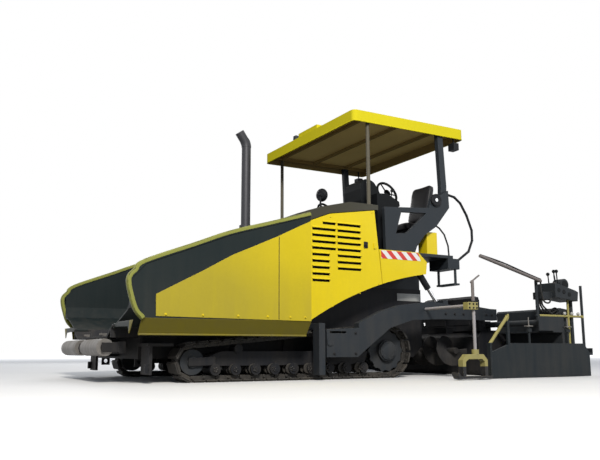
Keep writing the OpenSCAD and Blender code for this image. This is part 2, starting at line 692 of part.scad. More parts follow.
// Play round the pin in the rod's eye
eye_play = 10.5;
barrel_r = 42;
lift_rod_r = 24;
module on_lift(s) {
    on_side(s) translate([lug_x, lift_y, lug_z]) rotate([0, -lift_a, 0]) children();
}
module lift_barrel(s) {
    color(dark) on_lift(s) difference() {
        union() {
            bar_x(0, 0, barrel_r, 30, barrel_len);
            bar_y(0, 0, 38, -26, 26);
        }
        bar_x(0, 0, lift_rod_r + pin_gap, 45, barrel_len + 1);
        bar_y(0, 0, lift_pin_r + pin_gap, -60, 60);
    }
}
module lift_rod(s) {
    color(steel) on_lift(s) difference() {
        union() {
            bar_x(0, 0, lift_rod_r, lift_len - rod_len, lift_len - 30);
            bar_y(lift_len, 0, lift_pin_r + eye_play + 14, -22, 22);
        }
        bar_y(lift_len, 0, lift_pin_r + eye_play, -60, 60);
    }
}

// Hopper floor between the wings, front beam and rear wall
lip_x = -2950;
sill_y = 880;
hinge_pin_r = 15;
knuckles = [[-2930, -2780], [-2350, -2200], [-1750, -1600], [-1060, -910]];
lugs = [-2755, -2140, -1540, -1100];
rear_wall_z = 1640;
module hopper_body() {
    color(dark) {
        blk(lip_x, body_x0 - 15, -tunnel_y1, tunnel_y1, hopper_z - 20, hopper_z);
        both() cross_plate(lip_x, body_x0 - 15) polygon([[tunnel_y1, hopper_z - 20], [tunnel_y1, hopper_z],
            [sill_y - 20, hinge_z - 15], [sill_y, hinge_z - 15], [sill_y, hopper_z - 20], [sill_y - 20, hopper_z - 20],
            [sill_y - 20, hinge_z - 45], [tunnel_y1 + 25, hopper_z - 20]]);
        cross_plate(lip_x, body_x0 - 15) polygon([[-50, hopper_z], [50, hopper_z], [15, hopper_z + 80], [-15, hopper_z + 80]]);
        difference() {
            union() {
                blk(body_x0 - 15, body_x0, panel_t - half, half - panel_t, hinge_z - 20, rear_wall_z);
                blk(body_x0 - 15, body_x0, -sill_y, sill_y, hopper_z - 20, hinge_z);
            }
            both() blk(body_x0 - 16, body_x0 + 1, tunnel_y0, tunnel_y1, hopper_z, tunnel_z1);
        }
        // Hinge rods of the wings
        both() {
            bar_x(hinge_y, hinge_z, hinge_pin_r, lip_x, body_x0 - 15);
            for (x = lugs) blk(x - 12, x + 12, sill_y, hinge_y, hinge_z - 60, hinge_z - 4);
            // Guard over the front of the track, with a scraper
            blk(front_x - 20, idler_x - 240, sill_y, track_out - 10, hinge_z - 215, hinge_z - 185);
            blk(front_x, front_x + 40, sill_y - 15, sill_y + 30, hinge_z - 215, hopper_z);
            blk(front_x, front_x + 30, track_out - track_w, track_out - 10, 90, hinge_z - 215);
            blk(front_x - 40, front_x, track_out - 70, track_out - 30, 110, 200);
        }
    }
}

// Two chains with flight bars on the hopper floor
flight_pitch = 200;
flight_n = 20;
flight_x0 = -2780;
module conveyors() {
    color(steel) both() {
        for (y = [tunnel_y0 + 20, tunnel_y1 - 60]) blk(flight_x0 - 60, body_x1 - 20, y, y + 40, hopper_z, hopper_z + 18);
        for (i = [0 : flight_n - 1]) blk(flight_x0 + i * flight_pitch, flight_x0 + i * flight_pitch + 45,
            tunnel_y0 + 10, tunnel_y1 - 10, hopper_z + 10, hopper_z + 34);
    }
}

// Hopper wing: outline as [X, Z, inwards X, inwards Z], from the foot round the front to the rear
wing_rim = [[wing_x0 + 160, knee_z, 30, 0], [wing_x0 + 80, knee_z + 85, 40, 10], [wing_x0 + 25, knee_z + 240, 45, 0],
    [wing_x0, wing_tip_z, 45, -8], [wing_x0 + 15, wing_tip_z + 70, 42, -25], [wing_x0 + 70, wing_tip_z + 130, 30, -40],
    [wing_x0 + 170, wing_tip_z + 225, 15, -42], [wing_x0 + 1100, wing_tip_z + 590, 8, -44], [wing_x1, wing_rear_z, 0, -45]];
wing_in = 30;
side_y = open_w / 2;
function wing_outline() = concat([for (p = wing_rim) [p[0], p[1]]], [[wing_x1, knee_z]]);
// Inner plate of a wing seen from the front: [Y, Z]
inner_pts = [[hinge_y + 24, hinge_z + 6], [side_y - 150, hinge_z + 190], [side_y - 60, hinge_z + 330],
    [side_y - 48, 2100], [side_y - 34, 2100], [side_y - 46, hinge_z + 326], [side_y - 140, hinge_z + 176],
    [hinge_y + 24, hinge_z - 8]];
// Closing plate at a wing's ends: [Y, Z]
end_pts = [[hinge_y + 24, hinge_z - 8], [side_y - 180, hinge_z - 20], [side_y - 130, foot_z], [side_y - 118, foot_z],
    [side_y, knee_z], [side_y, 2100], [side_y - 34, 2100], [side_y - 46, hinge_z + 326], [side_y - 140, hinge_z + 176]];
module wing(s) {
    color(yellow) on_side(s) {
        // Outer wall and its raised panel
        side_plate(side_y - wing_t - 6, side_y - 6) polygon(wing_outline());
        side_plate(side_y - 6, side_y) polygon(panel_pts);
        // Rim along the front and top edges
        for (i = [0 : len(wing_rim) - 2]) side_plate(side_y - 60, side_y + 4)
            polygon([[wing_rim[i][0], wing_rim[i][1]], [wing_rim[i + 1][0], wing_rim[i + 1][1]],
                [wing_rim[i + 1][0] + wing_rim[i + 1][2], wing_rim[i + 1][1] + wing_rim[i + 1][3]],
                [wing_rim[i][0] + wing_rim[i][2], wing_rim[i][1] + wing_rim[i][3]]]);
        // Foot folded inwards
        cross_plate(wing_x0 + 160, wing_x1) polygon([[side_y - 6, knee_z], [side_y - 6 - wing_t, knee_z],
            [side_y - 134, foot_z], [side_y - 118, foot_z]]);
        blk(wing_x0 + 160, wing_x1, side_y - 150, side_y - 114, foot_z - 12, foot_z);
        intersection() {
            union() {
                cross_plate(wing_x0 + 60, wing_x1) polygon(inner_pts);
                for (x = [wing_x0 + 60, wing_x1 - wing_t]) cross_plate(x, x + wing_t) polygon(end_pts);
            }
            side_plate(hinge_y, side_y - 6) polygon(concat([for (p = wing_rim) if (p[0] != wing_x0 + 160) [p[0], p[1]]],
                [[wing_x1, 400], [wing_x0 + 60, 400]]));
        }
        // Hinge knuckles
        for (k = knuckles) difference() {
            union() {
                bar_x(hinge_y, hinge_z, 27, k[0], k[1]);
                blk(k[0], k[1], hinge_y, hinge_y + 40, hinge_z - 8, hinge_z + 6);
            }
            bar_x(hinge_y, hinge_z, hinge_pin_r + pin_gap, k[0] - 1, k[1] + 1);
        }
    }
}
// Raised yellow panel on a wing: [X, Z]
panel_pts = [[wing_x0 + 300, knee_z + 20], [wing_x0 + 295, 900], [wing_x0 + 790, 1160], [wing_x0 + 1130, 1350],
    [wing_x0 + 1380, 1460], [wing_x0 + 1690, 1600], [wing_x0 + 1930, 1720], [wing_x1, 1800], [wing_x1, knee_z]];

// Push beam: swings on an upright pin and carries two rollers
push_pivot_x = -2750;
push_pin_r = 25;
push_lug_z0 = push_z - 100;
push_lug_z1 = push_z + 95;
push_lug_t = 38;
push_x = -3008;
push_in = 130;
push_out = 900;
module push_beam() {
    color(dark) {
        difference() {
            union() {
                blk(-2870, -2800, -push_out - 50, push_out + 50, push_z - 65, push_z + 60);
                blk(-2800, push_pivot_x + 40, -95, 95, push_z - 55, push_z + 55);
            }
            translate([push_pivot_x, 0, 0]) cylinder(r = push_pin_r + pin_gap, h = 1000);
        }
        both() {
            for (y = [push_in - 30, push_out + 5]) blk(push_x - 40, -2870, y, y + 25, push_z - 50, push_z + 50);
            bar_y(push_x, push_z, 20, push_in - 30, push_out + 30);
        }
    }
}
module push_roller(s) {
    color(steel) on_side(s) difference() {
        bar_y(push_x, push_z, push_r, push_in, push_out);
        bar_y(push_x, push_z, 20 + pin_gap, push_in - 1, push_out + 1);
    }
}

// Auger: a helical flight on a shaft; blade_a is the blade's share of a turn in degrees
auger_in = 62;
auger_out = 1235;
blade_a = 16;
flight_l = auger_out - auger_in - 10;
// Whole turns keep the flight in balance
flight_turns = round(flight_l / auger_pitch);
module auger(s) {
    color(steel) on_side(s) translate([auger_x, auger_in, auger_z]) rotate([-90, 0, 0]) {
        cylinder(r = auger_shaft_r, h = auger_out - auger_in);
        translate([0, 0, 5]) linear_extrude(flight_l, twist = -s * 360 * flight_turns,
            slices = 60, convexity = 8) polygon(concat([for (k = [0 : 2]) let (a = blade_a * (k / 2 - 0.5)) [auger_r * cos(a), auger_r * sin(a)]],
            [[auger_shaft_r * 0.8, blade_a], [auger_shaft_r * 0.8, -blade_a]]));
    }
}
beam_half = 1120;
module auger_case() {
    color(dark) {
        blk(body_x1, body_x1 + 20, -500, 500, tunnel_z1 + 10, block_z - 10);
        blk(body_x1 + 20, auger_x + 90, -auger_in + 12, auger_in - 12, tunnel_z1 + 10, block_z - 60);
        blk(auger_x - 60, auger_x + 60, -beam_half, beam_half, auger_z + auger_r + 30, auger_z + auger_r + 110);
        side_plate(-auger_in + 12, auger_in - 12) polygon([[auger_x - 75, auger_z - 90], [auger_x + 75, auger_z - 90],
            [auger_x + 90, tunnel_z1 + 10], [auger_x - 90, tunnel_z1 + 10]]);
        bar_y(auger_x, auger_z, 60, pin_gap - auger_in, auger_in - pin_gap);
    }
}

// Main screed with its guides and the brackets to the tow arms
tube_l_x = screed_x0 + 230;
tube_r_x = screed_x1 - 110;
tube_z = 680;
tube_r = 38;
guide_y = [700, 1150];
screed_top = screed_z0 + screed_h;
box_z = 1070;
module screed_main() {
    color(dark) {
        side_plate(-screed_w / 2, screed_w / 2) polygon([[screed_x0, 60], [screed_x0 + 50, screed_z0], [screed_x1, screed_z0],
            [screed_x1, 420], [screed_x1 - 120, screed_top], [screed_x0 + 60, screed_top], [screed_x0, screed_top - 90]]);
        // Rail that guides the extensions
        blk(screed_x1 - 120, screed_x1 + 80, -screed_w / 2, screed_w / 2, 460, 550);
        for (x = [tube_l_x, tube_r_x], y = guide_y) {
            m = x == tube_l_x ? -1 : 1;
            difference() {
                blk(x - 52, x + 52, m * y - 45, m * y + 45, screed_top, tube_z + 52);
                bar_y(x, tube_z, tube_r + pin_gap, m * y - 46, m * y + 46);
            }
        }
        both() {
            // Service box behind the tractor
            side_plate(110, screed_w / 2 - 130) polygon([[screed_x0 + 15, screed_top - 5], [screed_x0 + 15, box_z - 25],
                [screed_x0 + 40, box_z], [screed_x0 + 145, box_z], [screed_x0 + 165, box_z - 50], [screed_x0 + 165, screed_top - 5]]);
            // Housing over the sliding tubes
            side_plate(110, screed_w / 2 - 130) polygon([[screed_x0 + 160, tube_z + 90], [screed_x0 + 160, box_z - 140],
                [screed_x1 - 40, box_z - 170], [screed_x1 - 5, box_z - 240], [screed_x1 - 5, tube_z + 90]]);
            blk(screed_x0 + 10, screed_x0 + 130, screed_w / 2 - 60, screed_w / 2, screed_top - 5, arm_top_z);
            blk(screed_x0 + 10, screed_x0 + 130, screed_w / 2, arm_y, arm_top_z - 80, arm_top_z);
        }
    }
}

// Screed extension: slides sideways behind the main screed
ext_len = 1230;
ext_x0 = screed_x1 + 20;
ext_x1 = screed_x1 + 460;
ext_h = 400;
walk_x1 = 3100;
post_x = 2800;
cover_z = 880;
rail_z = 770;
carrier_x = 2135;
module screed_ext(s) {
    tx = s < 0 ? tube_l_x : tube_r_x;
    color(dark) on_side(s) {
        y1 = gate_y;
        y0 = gate_y - ext_len;
        py = y1 - 24;
        side_plate(y0, y1) polygon([[ext_x0, 60], [ext_x0 + 40, screed_z0], [ext_x1, screed_z0], [ext_x1, 250],
            [ext_x1 - 60, ext_h], [ext_x0, ext_h]]);
        // Burner housing over the body
        side_plate(y0 + 40, y1 - 75) polygon([[ext_x0 + 130, ext_h - 5], [ext_x0 + 130, cover_z - 25], [ext_x0 + 150, cover_z],
            [ext_x0 + 300, cover_z - 20], [ext_x0 + 365, cover_z - 110], [ext_x0 + 365, ext_h - 5]]);
        // Saddle over the main screed's rail
        blk(ext_x0 + 80, ext_x0 + 120, y0, y1, ext_h - 5, 580);
        blk(screed_x1 - 60, ext_x0 + 120, y0, y1, 560, 580);
        // Sliding tube and the plate that carries it
        bar_y(tx, tube_z, tube_r, gate_y - 1850, y1 - 5);
        blk(screed_x0 + 175, ext_x0 + 120, y1 - 20, y1, 580, 760);
        // Walkway
        blk(ext_x1 - 20, walk_x1 - 10, y0 + 10, y1, 270, 300);
        blk(walk_x1 - 10, walk_x1, y0 + 10, y1, 270, 360);
        // Control post with its panel, a lever and a lamp
        bar([post_x, y1 - 60, 300], [post_x, y1 - 60, 1050], 24);
        side_plate(y1 - 240, y1 + 50) polygon([[2400, 1010], [2810, 965], [2830, 1085], [2780, 1105], [2400, 1195]]);
        side_plate(y1 - 180, y1 - 10) polygon([[2240, 985], [2401, 975], [2401, 1080], [2240, 1075]]);
        bar_y(2700, 1190, 75, y1 - 190, y1 - 50);
        bar([2620, y1 - 120, 1130], [2590, y1 - 120, 1310], 11);
        // Rail and its posts
        bar([2100, py, rail_z], [2965, py, rail_z], 15);
        bar([2700, py, ext_h - 20], [2700, py, 1000], 15);
        bar([2970, py, 300], [2970, py, 1180], 18);
        // Hose carrier: a post, an elbow and a sloping arm
        bar([carrier_x, py, 700], [carrier_x, py, 1215], 20);
        bar([carrier_x, py, 1205], [carrier_x, y1 + 45, 1205], 18);
        bar([carrier_x + 15, y1 + 45, 1200], [1125, y1 + 45, 1461], 20);
    }
}

// End gate with its brace and height spindles
module end_gate(s) {
    color(grey) on_side(s) {
        side_plate(gate_y, gate_y + gate_t) polygon([[gate_x0, screed_z0], [gate_x1, screed_z0], [gate_x1, 300],
            [2900, 420], [gate_x0 + 380, 420], [gate_x0, 300]]);
        blk(gate_x0, gate_x0 + 25, gate_y, gate_y + gate_t + 25, screed_z0 + 20, 420);
        bar([gate_x0 + 15, gate_y + 16, 395], [gate_x0 + 340, gate_y + 16, 745], 20);
        blk(gate_x0 + 320, gate_x0 + 355, gate_y, gate_y + gate_t, 400, 775);
        for (x = [gate_x0 + 700, 2620]) {
            bar([x, gate_y + 15, 400], [x, gate_y + 15, 620], 14);
            translate([x, gate_y + 15, 560]) cylinder(r = 32, h = 40);
        }
    }
}

// Grade sensor: a rod with a ski, carried on a tube across from the tow arm
sensor_x = 935;
sensor_y = 2250;
ski_w = 110;
module grade_sensors() {
    color(yellow) both() {
        bar_y(sensor_x - 60, 850, 20, arm_y + arm_w, sensor_y + 40);
        blk(sensor_x - 120, sensor_x + 35, sensor_y - 40, sensor_y + 40, 805, 890);
        bar([sensor_x, sensor_y, 270], [sensor_x, sensor_y, 1150], 19);
        bar([sensor_x - 30, sensor_y, 1125], [sensor_x + 110, sensor_y, 1215], 10);
        bar([sensor_x, sensor_y, 285], [sensor_x, sensor_y, 345], 42);
        // Arched foot on two uprights of the ski
        side_plate(sensor_y - 40, sensor_y + 40) polygon([[sensor_x - 230, 30], [sensor_x - 230, 225], [sensor_x - 160, 290],
            [sensor_x + 90, 290], [sensor_x + 150, 225], [sensor_x + 150, 30], [sensor_x + 105, 30], [sensor_x + 105, 205],
            [sensor_x + 70, 235], [sensor_x - 140, 235], [sensor_x - 185, 205], [sensor_x - 185, 30]]);
        side_plate(sensor_y - ski_w / 2, sensor_y + ski_w / 2) polygon([[sensor_x - 330, 75], [sensor_x - 290, 14],
            [sensor_x + 200, 14], [sensor_x + 215, 42], [sensor_x - 270, 42], [sensor_x - 310, 90]]);
    }
}

lamp_x = 1250;
module work_lamps() {
    color(grey) both() {
        bar_y(lamp_x, floor_z + 730, 85, half, half + 28);
        translate([canopy_x1 - 130, rib_y - 50, canopy_z - canopy_h - 60]) {
            bar([0, 50, 0], [0, 50, rib_z - (canopy_z - canopy_h - 60)], 10);
            blk(-45, 45, -10, 110, -100, 0);
        }
    }
}

chassis();
hopper_body();
conveyors();
wing(-1);  // wing_left
wing(1);  // wing_right
push_beam();
push_roller(-1);  // push_roller_left
push_roller(1);  // push_roller_right
track(-1);  // track_left
track(1);  // track_right
track_frames();
drive_sprockets();
idler_wheels();
rear_panels();
engine_door(-1);  // engine_door_left
engine_door(1);  // engine_door_right
hood();
hood_lid();
engine_block();
exhaust();
platform();
side_frames();
seat_frames();
seat_cushions();
consoles();
round_mirror();  // mirror
canopy_roof();
canopy_posts();
grab_rails();
tow_brackets();
tow_arms();
lift_barrel(-1);  // lift_barrel_left
lift_barrel(1);  // lift_barrel_right
lift_rod(-1);  // lift_rod_left
lift_rod(1);  // lift_rod_right
auger(-1);  // auger_left
auger(1);  // auger_right
auger_case();
screed_main();
screed_ext(-1);  // screed_ext_left
screed_ext(1);  // screed_ext_right
end_gate(-1);  // end_gate_left
end_gate(1);  // end_gate_right
grade_sensors();
work_lamps();
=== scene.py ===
"""Looks of a tracked asphalt paver: finishes for its CAD frame, and small pieces that the frame leaves out.

Lengths are metres in the frame's own axes: the machine faces -X, Y runs across and Z is up. What both sides
have is drawn on the right side (+Y) and mirrored to the left one.
"""
import math

import bpy
import bmesh
from bpy.props import FloatProperty, FloatVectorProperty, IntProperty, PointerProperty
from mathutils import Matrix, Vector


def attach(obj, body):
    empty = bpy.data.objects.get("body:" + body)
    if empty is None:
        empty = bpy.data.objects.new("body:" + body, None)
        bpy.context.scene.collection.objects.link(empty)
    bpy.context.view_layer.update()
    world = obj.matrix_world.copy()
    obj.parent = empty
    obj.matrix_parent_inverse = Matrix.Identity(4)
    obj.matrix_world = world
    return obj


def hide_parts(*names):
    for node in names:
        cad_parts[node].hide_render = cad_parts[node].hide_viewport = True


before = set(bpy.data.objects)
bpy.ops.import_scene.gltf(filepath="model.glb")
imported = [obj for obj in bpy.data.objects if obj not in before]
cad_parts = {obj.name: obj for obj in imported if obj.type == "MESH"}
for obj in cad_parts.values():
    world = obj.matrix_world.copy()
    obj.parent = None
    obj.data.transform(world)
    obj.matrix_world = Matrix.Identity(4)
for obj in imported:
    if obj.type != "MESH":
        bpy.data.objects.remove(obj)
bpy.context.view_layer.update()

bl_info = {
    "name": "Asphalt Paver Looks",
    "version": (1, 0, 0),
    "blender": (4, 5, 0),
    "location": "3D View > Sidebar > Paver",
    "description": "Finishes and small pieces for a tracked asphalt paver built on its CAD frame",
    "category": "Object",
}

ROOT = "tractor"
SIDES = (("left", -1), ("right", 1))
X, Y, Z = 0, 1, 2
OUT = Vector((0, 1, 0))
UP = Vector((0, 0, 1))


def reach(node, axis):
    """Least and greatest place of a CAD node along an axis, to a tenth of a millimetre."""
    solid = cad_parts[node]
    places = [(solid.matrix_world @ v.co)[axis] for v in solid.data.vertices]
    return round(min(places), 4), round(max(places), 4)


def middle(node, axis):
    """Middle of a CAD node along an axis, to a millimetre."""
    return round(sum(reach(node, axis)) / 2, 3)


def colour(name, description, value):
    return FloatVectorProperty(
        name=name, description=description, subtype="COLOR", size=3, min=0.0, max=1.0, default=value)


def metres(name, description, value):
    return FloatProperty(name=name, description=description, unit="LENGTH", default=value, precision=4)


class PaverColours(bpy.types.PropertyGroup):
    """Colours of the paver's paints and materials"""

    yellow: colour("Yellow paint", "Doors, rear panels and the wings' raised panels", (0.72, 0.55, 0.004))
    lemon: colour("Canopy paint", "Skin and edges of the canopy", (0.66, 0.57, 0.02))
    pale_rim: colour("Faded rim", "Rounded flange of the wings", (0.24, 0.25, 0.05))
    # painted shade and soil: the darker yellow of the wings' foot and hem, which face down into shade
    shade_and_soil: colour("Shaded, soiled yellow", "Foot of the wings and their hem", (0.20, 0.165, 0.018))
    # painted shade: a muted yellow that darkens the wings' raised panels towards their front and bottom
    film: colour("Shaded yellow", "A wing's yellow where shade is painted on it", (0.41, 0.33, 0.025))
    band: colour("Anthracite band", "Outer wall of the wings", (0.009, 0.015, 0.016))
    hood: colour("Hood paint", "Hood and its lid", (0.025, 0.023, 0.011))
    dark: colour("Dark frame paint", "Chassis, seat frames and main screed", (0.010, 0.011, 0.014))
    grey: colour("Grey arm paint", "Tow arms, platform and side frames", (0.020, 0.025, 0.031))
    gate: colour("End gate paint", "End gates of the screed", (0.011, 0.016, 0.020))
    extension: colour("Extension paint", "Screed extensions", (0.018, 0.022, 0.026))
    steel: colour("Worn steel", "Conveyors and push rollers", (0.20, 0.19, 0.18))
    track: colour("Track steel", "Track shoes and rollers", (0.024, 0.023, 0.022))
    exhaust: colour("Exhaust", "Exhaust pipe", (0.036, 0.036, 0.042))
    chrome: colour("Chrome", "Rods of the lift cylinders", (0.75, 0.75, 0.76))
    # painted shade and bounce light: the canopy's yellow underside as it looks in shade, lifted to stand in
    # for light from below
    underside_shade: colour("Canopy's liner", "Underside of the canopy's skin", (0.88, 0.66, 0.27))
    # painted shade: the ribs and inner edges under the canopy in a darker brown
    rib_shade: colour("Canopy's ribs", "Ribs and inner edges under the canopy", (0.36, 0.26, 0.11))
    cover: colour("Seat cover", "Cushions and backrests", (0.010, 0.010, 0.012))
    rubber: colour("Rubber", "Hoses", (0.012, 0.012, 0.012))
    # also colours the near-black sheets behind the louvres, which are painted shade
    plastic: colour("Panel plastic", "Consoles, controls and shade sheets behind the louvres", (0.006, 0.007, 0.008))
    plate: colour("Blank plate", "Plates and knobs", (0.42, 0.42, 0.4))
    dust: colour("Dust", "Dust that settles low and on top faces", (0.105, 0.090, 0.072))
    worn: colour("Bare edge", "Edges where dark paint is worn off", (0.3, 0.29, 0.27))
    worn_rim: colour("Bare rim", "Worn edges of the wings' flange", (0.5, 0.49, 0.33))
    worn_yellow: colour("Bare sensor edge", "Worn edges of the grade sensors", (0.6, 0.5, 0.3))
    red: colour("Hazard red", "Red stripes of the hazard strips", (0.55, 0.02, 0.012))
    white: colour("Hazard white", "White stripes of the hazard strips", (0.72, 0.72, 0.70))
    pale: colour("Pale steel", "Tube and rod of the grade sensors", (0.36, 0.34, 0.35))
    carrier: colour("Hose carrier", "Hose carriers and sensor handles", (0.17, 0.15, 0.145))
    post: colour("Front posts", "Front posts of the canopy", (0.10, 0.09, 0.065))
    faded: colour("Faded yellow", "Rails, braces and grade sensors", (0.33, 0.29, 0.10))
    glass: colour("Lamp lens", "Lenses of the side lamps", (0.80, 0.82, 0.84))
    mirror: colour("Mirror glass", "Glass of the mirror", (0.8, 0.81, 0.82))
    floor: colour("Floor as seen", "Floor where the camera looks at it", (0.78, 0.77, 0.75))
    ground: colour("Floor as a light", "Floor as it lights the machine", (0.13, 0.13, 0.11))


class PaverSizes(bpy.types.PropertyGroup):
    """Sizes that the small pieces share with the CAD frame"""

    half: metres("Half width", "From the middle to the side panels' face", reach("rear_panels", Y)[1])
    wing_y: metres("Wing face", "From the middle to the face of a wing's raised panel", 1.62)
    idler_x: metres("Idler axle", "Place of the idlers' axle", middle("idler_wheels", X))
    idler_r: metres("Idler radius", "Over the shoes round the idler", middle("idler_wheels", Z))
    sprocket_x: metres("Sprocket axle", "Place of the sprockets' axle", middle("drive_sprockets", X))
    sprocket_r: metres("Sprocket radius", "Over the shoes round the sprocket", middle("drive_sprockets", Z))
    belt_t: metres("Track thickness", "From the links' inner side to the pads' face", 0.07)
    track_in: metres("Track's inner edge", "From the middle to a track", reach("track_right", Y)[0])
    track_out: metres("Track's outer edge", "From the middle over a track", reach("track_right", Y)[1])
    shoes: IntProperty(name="Shoes", description="Number of shoes round a track", default=46)


def sizes():
    return bpy.context.scene.paver_sizes


def colours():
    return bpy.context.scene.paver_colours


# Shader values


class Value:
    """An output socket of a node tree. Arithmetic on it adds a maths node to the same tree."""

    def __init__(self, graph, socket):
        self.graph, self.socket = graph, socket

    def output(self, which):
        """Another output of the same node."""
        return Value(self.graph, self.socket.node.outputs[which])

    def maths(self, operation, a, b=0.0, clamp=False):
        return self.graph.node("Math", {0: a, 1: b}, operation=operation, use_clamp=clamp)

    def __add__(self, other):
        return self.maths("ADD", self, other)

    def __radd__(self, other):
        return self.maths("ADD", other, self)

    def __sub__(self, other):
        return self.maths("SUBTRACT", self, other)

    def __rsub__(self, other):
        return self.maths("SUBTRACT", other, self)

    def __mul__(self, other):
        return self.maths("MULTIPLY", self, other)

    def __rmul__(self, other):
        return self.maths("MULTIPLY", other, self)

    def __truediv__(self, other):
        return self.maths("DIVIDE", self, other)

    def __rtruediv__(self, other):
        return self.maths("DIVIDE", other, self)

    def __gt__(self, other):
        return self.maths("GREATER_THAN", self, other)

    def __lt__(self, other):
        return self.maths("LESS_THAN", self, other)

    def clamp(self):
        return self.maths("ADD", self, 0.0, clamp=True)

    def absolute(self):
        return self.maths("ABSOLUTE", self)

    def fraction(self):
        return self.maths("FRACT", self)

    def larger(self, other):
        return self.maths("MAXIMUM", self, other)

    def between(self, low, high):
        """1 where this value lies between low and high, and 0 elsewhere."""
        return (self > low) * (self < high)

    def near(self, centre, most):
        """1 where this value is less than most away from centre, and 0 elsewhere."""
        return (self - centre).absolute() < most

    def ramp(self, low, high):
        """This value eased from 0 at low to 1 at high."""
        return self.graph.node(
            "MapRange", {"Value": self, "From Min": low, "From Max": high}, interpolation_type="SMOOTHSTEP")


class Graph:
    """A node tree, and the one way in which nodes are added to it."""

    def __init__(self, tree):
        self.tree = tree

    def node(self, kind, inputs=None, out=0, **settings):
        """Adds a node with its settings, feeds its sockets and gives the output that out names."""
        made = self.tree.nodes.new("ShaderNode" + kind)
        for key, value in settings.items():
            setattr(made, key, value)
        for key, value in (inputs or {}).items():
            self.feed(made.inputs[key], value)
        return Value(self, made.outputs[out])

    def feed(self, socket, value):
        """Links a Value to a socket, or sets a constant on it."""
        if isinstance(value, Value):
            self.tree.links.new(value.socket, socket)
        else:
            socket.default_value = value

    def parts(self, vector):
        """The three parts of a vector."""
        first = self.node("SeparateXYZ", {"Vector": vector})
        return first, first.output(1), first.output(2)

    def mix(self, amount, a, b):
        """Colour a where amount is 0, colour b where it is 1. A colour is three numbers or a Value."""
        a, b = (c if isinstance(c, Value) else (*c, 1.0) for c in (a, b))
        return self.node("Mix", {0: amount, 6: a, 7: b}, out=2, data_type="RGBA", clamp_factor=True)

    def scaled(self, shade, value):
        """A colour made lighter or darker by a value around 1."""
        level = self.node("CombineXYZ", {0: value, 1: value, 2: value})
        shade = shade if isinstance(shade, Value) else (*shade, 1.0)
        sockets = {0: 1.0, 6: shade, 7: level}
        return self.node("Mix", sockets, out=2, data_type="RGBA", blend_type="MULTIPLY")

    def seen_directly(self):
        """1 for rays of the camera, and for those that metal or glass sends on."""
        camera_ray = self.node("LightPath", out="Is Camera Ray")
        passed_on = camera_ray.output("Is Glossy Ray").larger(camera_ray.output("Is Transmission Ray"))
        return camera_ray.larger(passed_on)


class PaintGraph(Graph):
    """The node tree of one material, with its places in object space and what the finishes are made of."""

    def __init__(self, name):
        self.material = bpy.data.materials.new(name)
        self.material.use_nodes = True
        super().__init__(self.material.node_tree)
        self.shader = self.tree.nodes["Principled BSDF"]
        self.place = self.node("TexCoord", out="Object")
        self.x, across, self.z = self.parts(self.place)
        self.side = across.absolute()

    def into(self, name, value):
        """Feeds one socket of the material's shader."""
        self.feed(self.shader.inputs[name], value)

    def noise(self, scale, detail, rough=0.55, stretch=(1, 1, 1)):
        at = self.node("Mapping", {"Vector": self.place, "Scale": stretch})
        return self.node("TexNoise", {"Vector": at, "Scale": scale, "Detail": detail, "Roughness": rough})

    def facing_up(self):
        """1 on a level top face, 0 on a wall and -1 on a level underside."""
        return self.parts(self.node("NewGeometry", out="Normal"))[Z]

    def rounded(self, radius):
        """Normal with edges rounded off, and how near an edge is, from 0 to 1."""
        soft = self.node("Bevel", {"Radius": radius}, samples=4)
        hard = self.node("NewGeometry", out="Normal")
        match = self.node("VectorMath", {0: soft, 1: hard}, out="Value", operation="DOT_PRODUCT")
        return soft, match.ramp(0.985, 0.80)


# Finishes

EDGE_RADIUS = 0.004
BUMP_HEIGHT = 0.002
COAT_ROUGH = 0.12


def finish(name, base, rough=0.42, metal=0.0, coat=0.0, dust=0.3, dust_top=1.5, wear=0.0, worn="worn",
           bump=0.15, regions=None, variation=0.10, shine=0.5):
    """A procedural finish: a colour with patches, dust that settles low and on top faces, and worn edges.

    base and worn name colours of PaverColours. dust, wear, bump and variation are amounts, dust_top is the
    height from which dust grows downwards, and shine is how much the surface mirrors. regions(graph) gives
    pairs of a mask and a colour that is painted over the base there.
    """
    c = colours()
    g = PaintGraph(name)
    shade = getattr(c, base)
    for mask, over in regions(g) if regions else ():
        shade = g.mix(mask, shade, over)
    broad = g.noise(scale=1.7, detail=4.0)
    fine = g.noise(scale=38.0, detail=4.0, rough=0.65)
    grain = g.noise(scale=210.0, detail=2.0)
    streaks = g.noise(scale=9.0, detail=3.0, rough=0.6, stretch=(1.0, 1.0, 0.12))
    shade = g.scaled(shade, 1.0 + (broad - 0.5) * (2.0 * variation) + (fine - 0.5) * variation)
    soft, edge = g.rounded(EDGE_RADIUS)
    if wear:
        shade = g.mix((edge * wear * fine.ramp(0.42, 0.62)).clamp(), shade, getattr(c, worn))
    low = g.z.ramp(dust_top, 0.0)
    lying = g.facing_up().ramp(0.3, 0.95)
    patches = streaks.ramp(0.32, 0.72) * 0.7 + broad.ramp(0.4, 0.7) * 0.5
    dusty = ((low * 0.75 + lying * 0.35 + 0.12) * patches * dust).clamp()
    g.into("Base Color", g.mix(dusty, shade, c.dust))
    g.into("Roughness", (dusty * 0.4 + fine * 0.12 + (rough - 0.06)).clamp())
    g.into("Metallic", metal)
    g.into("Coat Weight", coat)
    g.into("Coat Roughness", COAT_ROUGH)
    g.into("Specular IOR Level", shine)
    relief = {"Height": fine * 0.6 + grain * 0.4, "Strength": bump, "Distance": BUMP_HEIGHT, "Normal": soft}
    g.into("Normal", g.node("Bump", relief))
    return g.material


